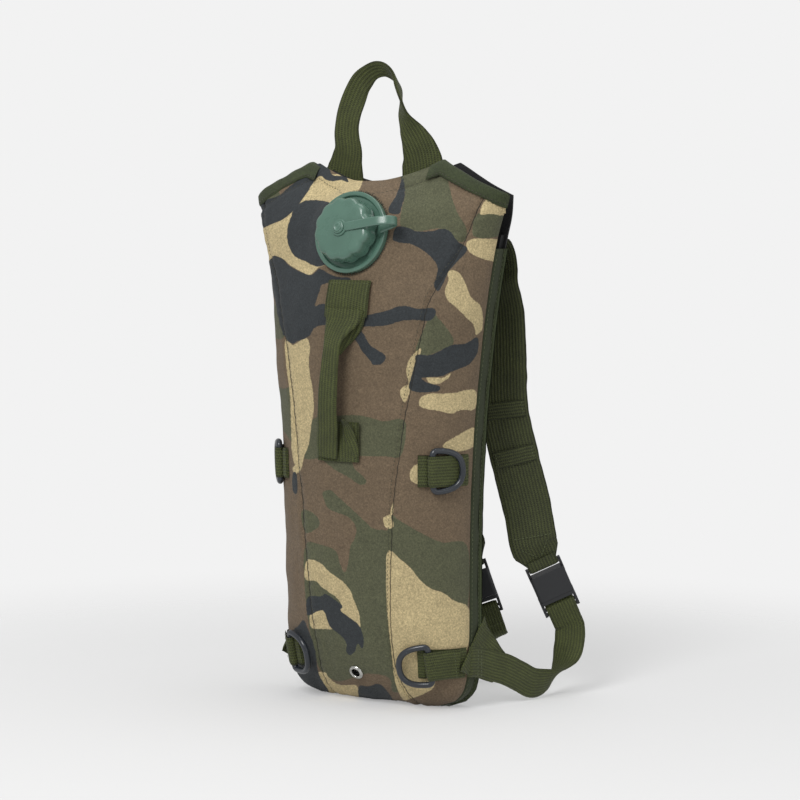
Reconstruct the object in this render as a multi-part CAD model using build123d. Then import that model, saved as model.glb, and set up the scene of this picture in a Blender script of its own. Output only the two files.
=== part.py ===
from build123d import *
import math
import os

# Hydration pack. Millimetres. +Z is up, +Y points at the wearer and -Y is the front of the pack.
# The origin is the middle of the bottom edge of the back panel's outer face.
# "left" and "right" are -X and +X.

# ---- driving dimensions ----
EDGE_DEPTH = 16.0            # depth of the green side band, back panel to front panel edge
FABRIC = 1.2                 # coated oxford fabric
FOAM = 4.0                   # insulating foam behind the front panels
BACK_FABRIC = 1.5
BACK_FOAM = 6.0
LAYER_GAP = 0.05             # air between two flat layers
SEWN_GAP = 0.4               # air under a piece sewn to the curved front
LOOSE_GAP = 0.8              # air beside a layer that only meets the front at its edges
SHOULDER_CORNER = (118.5, 410.0)     # x, z of the upper corners
SHOULDER_PEAK = (56.0, 440.0)        # x, z of the two peaks beside the haul loop
TOP_SAG = 424.0              # height of the top edge at the middle
FOLD_HEIGHT = 389.0          # fold line of the top flap
OPENING_HEIGHT = 371.0       # the side band stops here and the sides open for the bladder
WIDE_WEBBING = 40.0
NARROW_WEBBING = 25.0
WEBBING = 1.5                # webbing thickness
FLAT_STRIP = 1.4             # thickness of the hook and loop strips

# Haul loop: its two legs are sewn to the flap beside the middle.
HAUL_Y = -3.8                # middle plane of the sewn ends
HAUL_CENTRE = -5.5
HAUL_HALF_SPAN = 37.5
HAUL_TOP = 517.0
HAUL_FOLDED = 2.7            # thickness of the doubled webbing
HAUL_TAB = 1.4

# Front handle: two sewn patches and a folded grip that stands off between them.
HANDLE_UPPER = (316.0, 344.0)
HANDLE_LOWER = (201.0, 232.0)
HANDLE_STAND = 15.0
HANDLE_GRIP = 22.0

# Half width and depth of the pack over its height: (z, half width, depth at the middle).
STATIONS = [
    (0, 58, 18), (6, 74, 32), (16, 81.5, 43), (30, 84.5, 52), (65, 86, 63), (115, 86, 70),
    (170, 86.8, 73.5), (230, 90, 74.5), (300, 97, 73.2), (330, 101, 69.3), (351, 104.5, 63),
    (383, 111, 55.6), (400, 116, 50), (420, 121, 38), (446, 126, 19),
]
TOTAL = STATIONS[-1][0]
# Heights at which every layer has a section, so that stacked layers keep their spacing.
GRID = [0, 3, 6, 11, 16, 23, 30, 40, 52] + list(range(65, 389, 18)) + list(range(389, 440, 9)) + [TOTAL]

# Princess seams of the front: (z, x), the same on both sides.
SEAM_ROWS = [(-5, 42), (40, 37), (115, 40.5), (167, 44), (222, 51), (288, 63), (328, 76), (368, 96),
             (410, 109), (450, 114)]

# Filler: a tilted axis through the middle of the flange's front face.
FILLER_CENTRE = (0.0, -59.4, 383.5)
FILLER_TILT = 12.4
FLANGE_R = 33.2
FLANGE_THICK = 3.0
RIM_HEIGHT = 2.5
NECK_R = 20.5
NECK_TOP = 11.0
NECK_WALL = 3.0
CAP_R = 25.0
CAP_LOBES = 12
CAP_LOBE_DEPTH = 1.1
CAP_TOP = 16.4
CAP_BOTTOM = 2.0
CAP_RUNNING = 0.06           # radial clearance of the cap on the neck
STUD_R = 3.5
TETHER_RING_R = 6.8
TETHER_WIDTH = 7.4
TETHER_THICK = 1.6
TETHER_ANGLE = 9.0           # degrees above +X in the flange plane

# Drain.
DRAIN_Z = 27.0
DRAIN_BORE_R = 3.5
DRAIN_BARREL_R = 4.2
DRAIN_FLANGE_R = 6.3

# D-rings.
RING_WIRE_R = 2.5
RING_HEIGHT = 37.5
RING_REACH = 30.0
RING_CLEAR = 0.06

# Buckle, along its own axis from the webbing bar of the socket.
BUCKLE_HALF_W = 15.5
BUCKLE_HALF_T = 4.5
SOCKET_START = 6.5
SOCKET_END = 30.0
RAIL_INNER = 13.2            # inner edge of the rails that hold the webbing bars
CAVITY_HALF_T = 2.7

# Bladder, drinking tube and bite valve, all inside.
BLADDER_WALL = 0.8
BLADDER_BACK = -11.0
TUBE_R = 4.4
TUBE_X = 70.5
TUBE_BEND_Z = 62.0
OUTLET = (50.0, -20.0, 36.0)
VALVE = (78.0, -20.0, 300.0)
VALVE_LEAN = (0.08, 0, 1)

# Shoulder straps.
TAPER_WIDTH = 26.0           # width of the strap at the buckle
LADDER_LAYER = 2.35          # height of a webbing layer above the ladder's middle plane
MAIN_LAYER = 4.3             # height of the long webbing above the ladder's middle plane
LADDER_FOLD = 36.2           # where the webbing folds round the first ladder bar
LADDER_TOP_END = 54.0
LADDER_TAIL_END = 57.0
MAIN_START = 52.0            # where the long webbing starts
KEEPERS = (0.60, 0.80)       # places of the tube keepers along the strap


def lerp(a, b, t):
    return a + (b - a) * t


def smooth_value(rows, z, column):
    """Monotone cubic interpolation of one column of the station list."""
    zs = [row[0] for row in rows]
    vs = [row[column] for row in rows]
    slopes = [(vs[i + 1] - vs[i]) / (zs[i + 1] - zs[i]) for i in range(len(zs) - 1)]
    tangents = [slopes[0]]
    for a, b in zip(slopes, slopes[1:]):
        tangents.append(0.0 if a * b <= 0 else 2 * a * b / (a + b))
    tangents.append(slopes[-1])
    i = 0
    while i < len(zs) - 2 and z > zs[i + 1]:
        i += 1
    h = zs[i + 1] - zs[i]
    t = (z - zs[i]) / h
    return (
        (2 * t**3 - 3 * t**2 + 1) * vs[i] + (t**3 - 2 * t**2 + t) * h * tangents[i]
        + (3 * t**2 - 2 * t**3) * vs[i + 1] + (t**3 - t**2) * h * tangents[i + 1]
    )


def half_width(z):
    return smooth_value(STATIONS, z, 1)


def depth(z):
    return smooth_value(STATIONS, z, 2)


def front_y(x, z):
    """Y of the front fabric's outer face."""
    u = min(1.0, abs(x) / half_width(z))
    return -(EDGE_DEPTH + (depth(z) - EDGE_DEPTH) * math.sqrt(1 - u * u))


def layer_curve(z, out, a0, a1, reverse=False):
    """Curve across the front at height z, out above the fabric, between two angles from the middle."""
    steps = max(4, round(abs(a1 - a0) / 0.26))
    wide = half_width(z) + out
    deep = depth(z) - EDGE_DEPTH + out
    angles = [lerp(a0, a1, k / steps) for k in range(steps + 1)]
    if reverse:
        angles.reverse()
    points = [Vector(wide * math.sin(a), -EDGE_DEPTH - deep * math.cos(a), z) for a in angles]
    sign = -1 if reverse else 1
    ends = [Vector(wide * math.cos(a) * sign, deep * math.sin(a) * sign, 0) for a in (angles[0], angles[-1])]
    return Edge.make_spline(points, tangents=ends)


def front_layer(heights, left_x, right_x, inner, outer):
    """A layer that follows the front: left_x and right_x give its edges at each height."""
    wires = []
    for z in heights:
        wide = half_width(z)
        a0 = math.asin(max(-1.0, min(1.0, left_x(z) / wide)))
        a1 = math.asin(max(-1.0, min(1.0, right_x(z) / wide)))
        top = layer_curve(z, outer, a0, a1)
        low = layer_curve(z, inner, a0, a1, reverse=True)
        wires.append(Wire([
            top,
            Edge.make_line(top.end_point(), low.start_point()),
            low,
            Edge.make_line(low.end_point(), top.start_point()),
        ]))
    return Solid.make_loft(wires, ruled=True)


def station_heights(low, high):
    """The heights of GRID between low and high, with both ends."""
    inner = [z for z in GRID if low + 1 < z < high - 1]
    return [low] + inner + [high]


def seam_x(z):
    return smooth_value(SEAM_ROWS, z, 1)


def outline_face(inset, low, high):
    """Front view outline of the pack moved inwards, as a face in the XZ plane at Y 0."""
    rows = [row for row in STATIONS if low + 2 < row[0] < high - 2]
    points = [(half_width(row[0]) - inset, row[0]) for row in rows]
    start = half_width(low if low > 0 else 0) - inset
    right = [Vector(start, 0, low)] + [Vector(x, 0, z) for x, z in points]
    right.append(Vector(half_width(high) - inset, 0, high))
    left = [Vector(-p.X, 0, p.Z) for p in reversed(right)]
    wire = Wire([
        Edge.make_line(left[-1], right[0]),
        Edge.make_spline(right),
        Edge.make_line(right[-1], left[0]),
        Edge.make_spline(left),
    ])
    return Face(wire)


def slab(inset, low, high, y0, y1):
    """The outline as a plate between two depths."""
    face = outline_face(inset, low, high)
    return Pos(0, y1, 0) * Solid.extrude(face, Vector(0, y0 - y1, 0))


def box(x0, x1, y0, y1, z0, z1):
    return Pos((x0 + x1) / 2, (y0 + y1) / 2, (z0 + z1) / 2) * Box(x1 - x0, y1 - y0, z1 - z0)


def front_prism(outline, y0=-120.0, y1=5.0):
    """A solid through the pack with the given closed outline of (x, z) in front view."""
    face = Face(Wire.make_polygon([Vector(x, y1, z) for x, z in outline], close=True))
    return Solid.extrude(face, Vector(0, y0 - y1, 0))


def top_edge(drop=0.0):
    """Half of the top edge in front view, from beyond the corner to the middle: (x, z)."""
    cx, cz = SHOULDER_CORNER
    px, pz = SHOULDER_PEAK
    beyond = 12.0
    slope = (pz - cz) / (cx - px)
    points = [(cx + beyond, cz - slope * beyond - drop), (px, pz - drop)]
    for k in range(1, 5):
        t = k / 4
        points.append((px * (1 - t), lerp(pz, TOP_SAG, math.sin(t * math.pi / 2)) - drop))
    return points


def above_top(drop=0.0):
    """Everything above the top edge lowered by drop."""
    half = top_edge(drop)
    left = [(-x, z) for x, z in reversed(half[:-1])]
    outline = half + left + [(-150, 403 - drop), (-150, 480), (150, 480), (150, 403 - drop)]
    return front_prism(outline, y1=40.0)


def top_band(low_drop, high_drop, x0, x1):
    """A band that follows the top edge between two drops, from x0 to x1."""
    band = above_top(low_drop) - above_top(high_drop)
    return band & box(x0, x1, -130, 45, 330, TOTAL + 34)


def filler_frame():
    """Plane at the filler: local Z out of the pack, local X to +X."""
    tilt = math.radians(FILLER_TILT)
    return Plane(origin=FILLER_CENTRE, x_dir=(1, 0, 0), z_dir=(0, -math.cos(tilt), math.sin(tilt)))


def drain_frame():
    slope = (depth(DRAIN_Z + 1) - depth(DRAIN_Z - 1)) / 2
    normal = Vector(0, -1, -slope).normalized()
    return Plane(origin=(0, front_y(0, DRAIN_Z), DRAIN_Z), x_dir=(1, 0, 0), z_dir=normal)


def disc(r, w0, w1):
    return Pos(0, 0, (w0 + w1) / 2) * Cylinder(r, w1 - w0)


def tube(r_out, r_in, w0, w1):
    return disc(r_out, w0, w1) - disc(r_in, w0 - 1, w1 + 1)


# ---- sewn body ----

def cut_front(shape):
    """Cut the filler hole, the drain hole and the top edge."""
    shape = shape - filler_frame() * disc(NECK_R + 1.0, -30, 10)
    return shape - drain_frame() * disc(DRAIN_BARREL_R + 0.1, -20, 10)


def make_front_center_panel():
    heights = station_heights(0, TOTAL)
    panel = front_layer(heights, lambda z: -seam_x(z), seam_x, -FABRIC, 0)
    return cut_front(panel) - above_top()


def make_front_side_panel():
    """The +X side panel, from the seam to the pack's edge."""
    heights = station_heights(0, 420)
    return front_layer(heights, lambda z: seam_x(z) + LAYER_GAP, half_width, -FABRIC, 0) - above_top()


def make_foam_liner():
    """Two halves that meet in the middle."""
    outer = -FABRIC - LOOSE_GAP
    heights = station_heights(8, FOLD_HEIGHT)
    half = cut_front(front_layer(heights, lambda z: LAYER_GAP, half_width, outer - FOAM, outer))
    return [half, mirrored(half)]


def make_side_band():
    """Green band round both sides and the bottom, open at the top."""
    y0, y1 = -EDGE_DEPTH + SEWN_GAP, -BACK_FABRIC - LAYER_GAP
    return slab(0, 0, OPENING_HEIGHT, y0, y1) - slab(FABRIC, FABRIC, OPENING_HEIGHT + 5, y0 - 5, y1 + 5)


def make_back_panel():
    return slab(0, 0, FOLD_HEIGHT - 1, -BACK_FABRIC, 0)


def make_back_foam():
    front = -BACK_FABRIC - LAYER_GAP - BACK_FOAM
    return slab(FABRIC + LAYER_GAP, FABRIC + LAYER_GAP, FOLD_HEIGHT - 6, front, -BACK_FABRIC - LAYER_GAP)


def make_edge_binding():
    """Bound seam that stands out round the outer edge of the back panel."""
    stand, thick = 2.0, 2.4
    ring = slab(-stand, -stand, OPENING_HEIGHT, -thick, 0)
    return ring - slab(-LAYER_GAP, -LAYER_GAP, OPENING_HEIGHT + 5, -5, 5)


def make_shoulder_binding():
    """Tape over the +X shoulder of the front's top edge."""
    heights = station_heights(FOLD_HEIGHT, TOTAL)
    tape = front_layer(heights, lambda z: SHOULDER_PEAK[0], half_width, LOOSE_GAP, LOOSE_GAP + 1.0)
    return tape & top_band(11.0, 0.0, 0, 150)


def make_hook_strip():
    outer = -FABRIC - SEWN_GAP
    heights = station_heights(FOLD_HEIGHT, TOTAL)
    layer = front_layer(heights, lambda z: -98, lambda z: 98, outer - FLAT_STRIP, outer)
    return layer & top_band(22.0, 2.0, -150, 150)


def make_top_flap():
    return slab(0, FOLD_HEIGHT + 1, TOTAL, -BACK_FABRIC, 0) - above_top()


def make_loop_strip():
    front = -BACK_FABRIC - LAYER_GAP
    band = top_band(22.0, 3.0, -104, 104)
    return band & box(-104, 104, front - FLAT_STRIP, front, FOLD_HEIGHT + 4, TOTAL)


# ---- webbing ----

def catmull(points, t):
    """Point at t (0 to 1) on the smooth curve through points."""
    last = len(points) - 1
    i = min(int(t * last), last - 1)
    f = t * last - i
    p1, p2 = points[i], points[i + 1]
    p0 = points[i - 1] if i > 0 else 2 * p1 - p2
    p3 = points[i + 2] if i < last - 1 else 2 * p2 - p1
    a = 2 * p1
    b = (p2 - p0) * f
    c = (2 * p0 - 5 * p1 + 4 * p2 - p3) * (f * f)
    d = (3 * p1 - p0 - 3 * p2 + p3) * (f**3)
    return (a + b + c + d) * 0.5


def ribbon_wire(point, across, tangent, width, thick):
    across = (across - tangent * across.dot(tangent)).normalized() * (width / 2)
    out = tangent.cross(across).normalized() * (thick / 2)
    corners = [point + across + out, point - across + out, point - across - out, point + across - out]
    return Wire.make_polygon(corners, close=True)


def ribbon(keys, thick, steps):
    """Webbing through keys of (point, direction across, width)."""
    points = [Vector(*key[0]) for key in keys]
    acrosses = [Vector(*key[1]).normalized() for key in keys]
    widths = [Vector(key[2], 0, 0) for key in keys]
    wires = []
    for k in range(steps + 1):
        t = k / steps
        ahead = catmull(points, min(1.0, t + 0.002))
        behind = catmull(points, max(0.0, t - 0.002))
        tangent = (ahead - behind).normalized()
        width = catmull(widths, t).X
        wires.append(ribbon_wire(catmull(points, t), catmull(acrosses, t), tangent, width, thick))
    return Solid.make_loft(wires, ruled=True)


def make_haul_loop():
    """Arch of 40 mm webbing whose width turns half a turn between its two legs."""
    base = SHOULDER_PEAK[1] + 2
    steps = 8
    keys = []
    for k in range(steps + 1):
        a = math.pi * k / steps
        rise = math.sin(a)**0.8 if 0 < k < steps else 0.0
        x = HAUL_CENTRE - HAUL_HALF_SPAN * math.cos(a)
        point = (x, HAUL_Y - 4 * math.sin(a), lerp(base, HAUL_TOP, rise))
        across = (math.cos(a), 0.55 * math.sin(a), 0.0) if k != steps / 2 else (0, 1, 0)
        keys.append((point, across, lerp(WIDE_WEBBING, WIDE_WEBBING / 2, math.sin(a))))
    return ribbon(keys, HAUL_FOLDED, 32)


def make_haul_loop_tabs():
    tabs = []
    for side in (-1, 1):
        middle = HAUL_CENTRE + side * HAUL_HALF_SPAN
        x0, x1 = middle - WIDE_WEBBING / 2, middle + WIDE_WEBBING / 2
        tabs.append(box(x0, x1, HAUL_Y - HAUL_TAB / 2, HAUL_Y + HAUL_TAB / 2, 412, SHOULDER_PEAK[1] - 1))
    return tabs


def make_front_handle():
    """Two patches sewn flat and the folded grip between them."""
    patches = []
    for (low, high), middle in ((HANDLE_UPPER, 3.5), (HANDLE_LOWER, -1.0)):
        x0, x1 = middle - WIDE_WEBBING / 2, middle + WIDE_WEBBING / 2
        patches.append(front_layer(station_heights(low, high), lambda z: x0, lambda z: x1, SEWN_GAP, WEBBING))
    path = [(2, 334, 2.1), (1, 320, 3.2), (-1, 305, HANDLE_STAND - 2), (-2, 268, HANDLE_STAND),
            (-5, 240, HANDLE_STAND - 2), (-8, 224, 5.0), (-9, 212, 2.2)]
    keys = [((x, front_y(x, z) - out, z), (1, 0, 0), HANDLE_GRIP) for x, z, out in path]
    return patches[0] + patches[1] + ribbon(keys, 2 * WEBBING, 24)


# ---- D-rings, built for the +X side ----

RINGS = {
    # where: (x of the bar on the fabric, height, way the bow lies: 1 to the side, -1 to the middle, tilt)
    "upper": (71.0, 195.0, 1, 8.0),
    "lower": (65.0, 39.0, -1, 2.0),
}
RING_STANDOFF = RING_WIRE_R + RING_CLEAR + WEBBING + SEWN_GAP


def mirrored(shape):
    return mirror(shape, about=Plane.YZ)


def ring_frame(x, z):
    """Plane at a D-ring's bar: local X to the side along the fabric, Y into the pack, Z up the fabric."""
    slope_x = (front_y(x + 1, z) - front_y(x - 1, z)) / 2
    slope_z = (front_y(x, z + 1) - front_y(x, z - 1)) / 2
    up = Vector(0, slope_z, 1).normalized()
    into = up.cross(Vector(1, slope_x, 0)).normalized()
    origin = Vector(x, front_y(x, z), z) - into * RING_STANDOFF
    return Plane(origin=origin, x_dir=into.cross(up), z_dir=up)


def make_d_ring(where):
    """A D of round bar: straight bar on local Z and a bow that reaches along local X."""
    x, z, bow, tilt = RINGS[where]
    half = RING_HEIGHT / 2 - RING_WIRE_R
    reach = RING_REACH - 2 * RING_WIRE_R
    corner = 3.5
    bend = corner * (1 - math.sqrt(0.5))
    path = Wire([
        Edge.make_line((0, 0, 0), (0, 0, half - corner)),
        Edge.make_three_point_arc((0, 0, half - corner), (bend, 0, half - bend), (corner, 0, half)),
        Edge.make_spline([Vector(corner, 0, half), Vector(reach, 0, 0)],
                         tangents=[Vector(1, 0, 0), Vector(0, 0, -1)]),
    ])
    profile = Face(Wire.make_circle(RING_WIRE_R, Plane(origin=(0, 0, 0), z_dir=(0, 0, 1))))
    upper = Solid.sweep(profile, path)
    ring = upper + mirror(upper, about=Plane.XY)
    turned = Rot(0, 0, tilt) * ring if bow > 0 else Rot(0, 0, 180 - tilt) * ring
    return ring_frame(x, z) * turned


def make_ring_loop(where):
    """Webbing sewn flat to the side panel, folded round the ring's bar."""
    x, z, _, _ = RINGS[where]
    half = NARROW_WEBBING / 2
    heights = station_heights(z - half, z + half)
    strip = front_layer(heights, lambda _: x - 9, lambda h: half_width(h) - 0.2, SEWN_GAP, WEBBING)
    inner = RING_WIRE_R + RING_CLEAR
    eye = ring_frame(x, z) * tube(inner + WEBBING, inner, -half, half)
    strip = strip - ring_frame(x, z) * disc(inner, -half - 5, half + 5)
    return strip + eye


# ---- filler neck and screw cap, along the filler axis ----

def make_filler_neck():
    flange = disc(FLANGE_R, -FLANGE_THICK, 0) + tube(FLANGE_R, FLANGE_R - 3.6, -0.5, RIM_HEIGHT)
    neck = disc(NECK_R, -16.0, NECK_TOP)
    foot = disc(NECK_R + 5.0, -16.0, -13.5)
    return filler_frame() * (flange + neck + foot - disc(NECK_R - NECK_WALL, -17, NECK_TOP + 1))


def make_cap_gasket():
    return filler_frame() * tube(NECK_R - 0.3, NECK_R - NECK_WALL - 0.5, NECK_TOP + 0.05, NECK_TOP + 1.55)


def make_screw_cap():
    body = disc(CAP_R, CAP_BOTTOM, CAP_TOP - 1.2) + disc(CAP_R - 2.4, CAP_TOP - 2, CAP_TOP)
    lobe_r = 5.4
    r = CAP_R + CAP_LOBE_DEPTH - lobe_r
    for k in range(CAP_LOBES):
        angle = math.radians((k + 0.5) * 360 / CAP_LOBES)
        lobe = Pos(r * math.cos(angle), r * math.sin(angle), 0) * disc(lobe_r, CAP_BOTTOM, CAP_TOP - 1.2)
        body = body + lobe
    body = body + disc(STUD_R, CAP_TOP - 1, CAP_TOP + 2.8)
    body = body - disc(NECK_R + CAP_RUNNING, CAP_BOTTOM - 1, NECK_TOP + 0.3)
    return filler_frame() * (body - disc(NECK_R - 0.2, NECK_TOP, NECK_TOP + 1.6))


def make_cap_button():
    return filler_frame() * disc(5.2, CAP_TOP + 2.85, CAP_TOP + 4.4)


def make_cap_tether():
    """Ring round the cap's stud and a strap that bends back to the flange."""
    w0 = CAP_TOP + 0.5
    ring = tube(TETHER_RING_R, STUD_R + 0.06, w0, w0 + 2.0)
    mid = w0 + 1.0
    path = [(TETHER_RING_R - 1.2, mid), (16, mid), (27, mid + 0.3), (37, mid - 0.4), (44.5, mid - 3.5),
            (47.6, 9.5), (45.0, 5.2), (39.5, 3.7), (34.3, 3.5)]
    keys = [((r, 0, w), (0, 1, 0), TETHER_WIDTH) for r, w in path]
    return filler_frame() * (Rot(0, 0, TETHER_ANGLE) * (ring + ribbon(keys, TETHER_THICK, 32)))


def make_tether_tab():
    low = RIM_HEIGHT + 0.05
    tab = Pos(31.2, 0, low + 0.9) * Box(5.2, TETHER_WIDTH + 3.0, 1.8)
    return filler_frame() * (Rot(0, 0, TETHER_ANGLE) * tab)


# ---- bladder and drinking tube, inside ----

def bladder_form(extra):
    """The pouch: flat behind, bulging in front, moved inwards by extra."""
    wires = []
    back = BLADDER_BACK - extra
    side = BLADDER_BACK * 2
    for z in (46 + extra, 70, 130, 200, 270, 330, 372 - extra):
        half = min(60.0, half_width(z) - 24) - extra
        front = -(depth(z) + BLADDER_BACK) + extra
        wires.append(Wire([
            Edge.make_line((-half, back, z), (half, back, z)),
            Edge.make_line((half, back, z), (half, side, z)),
            Edge.make_three_point_arc((half, side, z), (0, front, z), (-half, side, z)),
            Edge.make_line((-half, side, z), (-half, back, z)),
        ]))
    return Solid.make_loft(wires)


def make_bladder():
    neck = filler_frame() * disc(NECK_R + 5.1, -16.2, 20)
    mouth = filler_frame() * disc(NECK_R - NECK_WALL, -40, 20)
    return bladder_form(0) - bladder_form(BLADDER_WALL) - neck - mouth


def make_bladder_outlet():
    """Spigot welded to the bottom of the bladder with an elbow for the tube."""
    x, y, z = OUTLET
    spigot = Pos(x, y, z + 4.8) * Cylinder(4.6, 9.6)
    elbow = Pos(x + 7, y, z) * (Rot(0, 90, 0) * Cylinder(3.6, 14))
    return spigot + Pos(x, y, z) * Sphere(5.0) + elbow


def make_drinking_tube():
    """Tube stowed up the +X side, from the outlet to the bite valve."""
    start = Vector(OUTLET[0] + 14.1, OUTLET[1], OUTLET[2])
    low = Vector(TUBE_X, OUTLET[1], TUBE_BEND_Z)
    path = Wire([
        Edge.make_spline([start, low], tangents=[Vector(1, 0, 0), Vector(0, 0, 1)]),
        Edge.make_spline([low, Vector(TUBE_X + 0.5, OUTLET[1], 180), Vector(*VALVE)],
                         tangents=[Vector(0, 0, 1), Vector(*VALVE_LEAN)]),
    ])
    return Solid.sweep(Face(Wire.make_circle(TUBE_R, Plane(origin=start, z_dir=(1, 0, 0)))), path)


def make_bite_valve():
    frame = Plane(origin=VALVE, z_dir=Vector(*VALVE_LEAN).normalized())
    shroud = tube(6.0, 3.0, 0.1, 16)
    return frame * (shroud + disc(7.0, 15, 19) + disc(5.0, 19, 34) - disc(2.0, 10, 40))


# ---- drain ----

def make_drain_eyelet():
    """Barrel with a domed lip, turned from one profile of (radius, distance out of the fabric)."""
    barrel, bore = DRAIN_BARREL_R, DRAIN_BORE_R
    profile = [(bore, -7.6), (barrel, -7.6), (barrel, 0.15), (DRAIN_FLANGE_R, 0.15), (DRAIN_FLANGE_R, 0.7),
               (5.6, 1.4), (4.9, 1.7), (4.2, 1.6), (bore, 1.0)]
    face = Face(Wire.make_polygon([Vector(r, 0, w) for r, w in profile], close=True))
    return drain_frame() * revolve(face, Axis.Z)


def make_drain_washer():
    return drain_frame() * tube(DRAIN_FLANGE_R, DRAIN_BARREL_R + 0.02, -7.4, -6.4)


# ---- shoulder straps ----
# Each strap hangs as one loop from a sewn stub at the top to a sewn anchor at the bottom.

STRAPS = {
    "right": {
        "points": [(86, 24.5, 344.5), (84.5, 35, 318), (82.5, 41, 280), (82.5, 44, 240), (89, 50, 200),
                   (95.5, 60, 158)],
        "socket": (104.6, 71.8, 109.0),
        "down": (0.175, 0.448, -0.877),
        "across": (-0.754, -0.513, -0.412),
        "main_side": 1,
        "straight_end": 60.0,
        "tail": [
            ((118.0, 93.5, 40.0), (-0.86, -0.46, -0.25)), ((116.0, 87.0, 25.0), (-0.93, 0.0, -0.35)),
            ((112.5, 72.0, 15.5), (-0.5, 0.1, -0.85)), ((107.5, 52.5, 16.0), (-0.1, 0, -1)),
            ((103.6, 40.0, 22.5), (0, 0, -1)), ((101.0, 32.0, 26.4), (0, 0, -1)), ((99.3, 26.6, 27.0), (0, 0, -1)),
        ],
    },
    "left": {
        "points": [(-86, 24.5, 344.5), (-84, 36, 320), (-73, 50, 282), (-50, 66, 225), (-24, 79, 175),
                   (2, 88, 135)],
        "socket": (20.1, 93.5, 99.3),
        "down": (0.33, 0.10, -0.94),
        "across": (-0.81, -0.47, -0.33),
        "main_side": -1,
        "straight_end": 58.0,
        "tail": [
            ((37.0, 108.0, 37.0), (-0.81, -0.47, -0.33)), ((31.0, 119.0, 33.0), (-0.6, -0.35, -0.7)),
            ((15.0, 129.0, 31.0), (-0.15, -0.1, -1)), ((-10.0, 127.0, 29.0), (0, 0, -1)),
            ((-50.0, 98.0, 26.0), (0, 0, -1)), ((-84.0, 52.0, 26.0), (0, 0, -1)),
            ((-99.3, 26.6, 27.0), (0, 0, -1)),
        ],
    },
}


def buckle_frame(side):
    """Plane at the socket's webbing bar: local X across, local Y along the buckle, local Z to the front."""
    spec = STRAPS[side]
    down = Vector(*spec["down"]).normalized()
    across = Vector(*spec["across"])
    across = (across - down * across.dot(down)).normalized()
    return Plane(origin=spec["socket"], x_dir=across, z_dir=across.cross(down))


def in_buckle(side, s, n):
    return buckle_frame(side).from_local_coords(Vector(0, s, n))


def plate(w0, w1, s0, s1, half_t):
    return Pos((w0 + w1) / 2, (s0 + s1) / 2, 0) * Box(w1 - w0, s1 - s0, 2 * half_t)


def rounded(solid, radius, axis=Axis.Z):
    return fillet(solid.edges().filter_by(axis), radius)


def make_socket(side):
    """Outer half of the buckle: a webbing bar, and a hollow body with a window in each side."""
    w = BUCKLE_HALF_W
    body = rounded(plate(-w, w, SOCKET_START, SOCKET_END, BUCKLE_HALF_T), 3.0, Axis.Y)
    rails = plate(-w, -RAIL_INNER, -1.5, 8, 1.8) + plate(RAIL_INNER, w, -1.5, 8, 1.8)
    bar = Rot(0, 90, 0) * Cylinder(1.5, 2 * w - 1)
    cavity = plate(-13.3, 13.3, SOCKET_START + 2.5, SOCKET_END + 1, CAVITY_HALF_T)
    windows = plate(-w - 1, w + 1, SOCKET_START + 4, SOCKET_END - 2.5, CAVITY_HALF_T)
    return buckle_frame(side) * (body + rails + bar - cavity - windows)


def make_plug(side):
    """Inner half: a base, a centre guide and a ladder of two bars for the webbing."""
    w = BUCKLE_HALF_W
    base = rounded(plate(-w, w, SOCKET_END + 0.4, 33.6, 4.0), 2.5, Axis.Y)
    guide = plate(-1.5, 1.5, 14.0, SOCKET_END + 1, 2.3)
    rails = plate(-w, -RAIL_INNER, 33, 45, 2.4) + plate(RAIL_INNER, w, 33, 45, 2.4)
    bars = plate(-w + 1, w - 1, 38.0, 40.4, 1.3) + plate(-w + 1, w - 1, 42.6, 45, 1.3)
    return buckle_frame(side) * (base + guide + rails + bars)


def make_prong(side, hand):
    """One sprung arm of the plug, with the barb that shows in the socket's window."""
    outline = [(8.4, 29.6), (8.4, 13.6), (10.6, 13.6), (14.6, 18.4), (14.6, 20.0), (11.4, 20.8), (11.4, 29.6)]
    points = [Vector(hand * a, b, -2.3) for a, b in outline]
    face = Face(Wire.make_polygon(points, close=True))
    return buckle_frame(side) * Solid.extrude(face, Vector(0, 0, 4.6))


def make_shoulder_strap(side):
    spec = STRAPS[side]
    wide = (-1, 0, 0)
    turned = spec["across"]
    points = spec["points"]
    keys = []
    for k, point in enumerate(points):
        t = min(1.0, k / (len(points) - 2))
        across = tuple(lerp(a, b, t) for a, b in zip(wide, turned))
        keys.append((point, across, WIDE_WEBBING))
    shoulder = in_buckle(side, -16, 0)
    keys.append(((shoulder.X, shoulder.Y, shoulder.Z), turned, WIDE_WEBBING))
    neck = in_buckle(side, -2.4, 0)
    keys.append(((neck.X, neck.Y, neck.Z), turned, TAPER_WIDTH))
    eye = Rot(0, 90, 0) * (Cylinder(3.1, TAPER_WIDTH) - Cylinder(1.56, TAPER_WIDTH + 2))
    strap = ribbon(keys, 2 * WEBBING * 0.8, 28)
    return strap + buckle_frame(side) * eye


def make_tube_keepers(side):
    """Two flat webbing keepers sewn across the outer face of the strap for the drinking tube."""
    spec = STRAPS[side]
    points = [Vector(*p) for p in spec["points"]]
    last = len(points) - 1
    keepers = []
    for t in KEEPERS:
        here = catmull(points, t)
        down = (catmull(points, t + 0.02) - catmull(points, t - 0.02)).normalized()
        turn = min(1.0, t * last / (last - 1))
        across = Vector(*(lerp(a, b, turn) for a, b in zip((-1, 0, 0), spec["across"])))
        across = (across - down * across.dot(down)).normalized()
        frame = Plane(origin=here, x_dir=across, z_dir=across.cross(down))
        keepers.append(frame * (Pos(0, 0, 3.2) * Box(30, 14, 1.2)))
    return keepers


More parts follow.
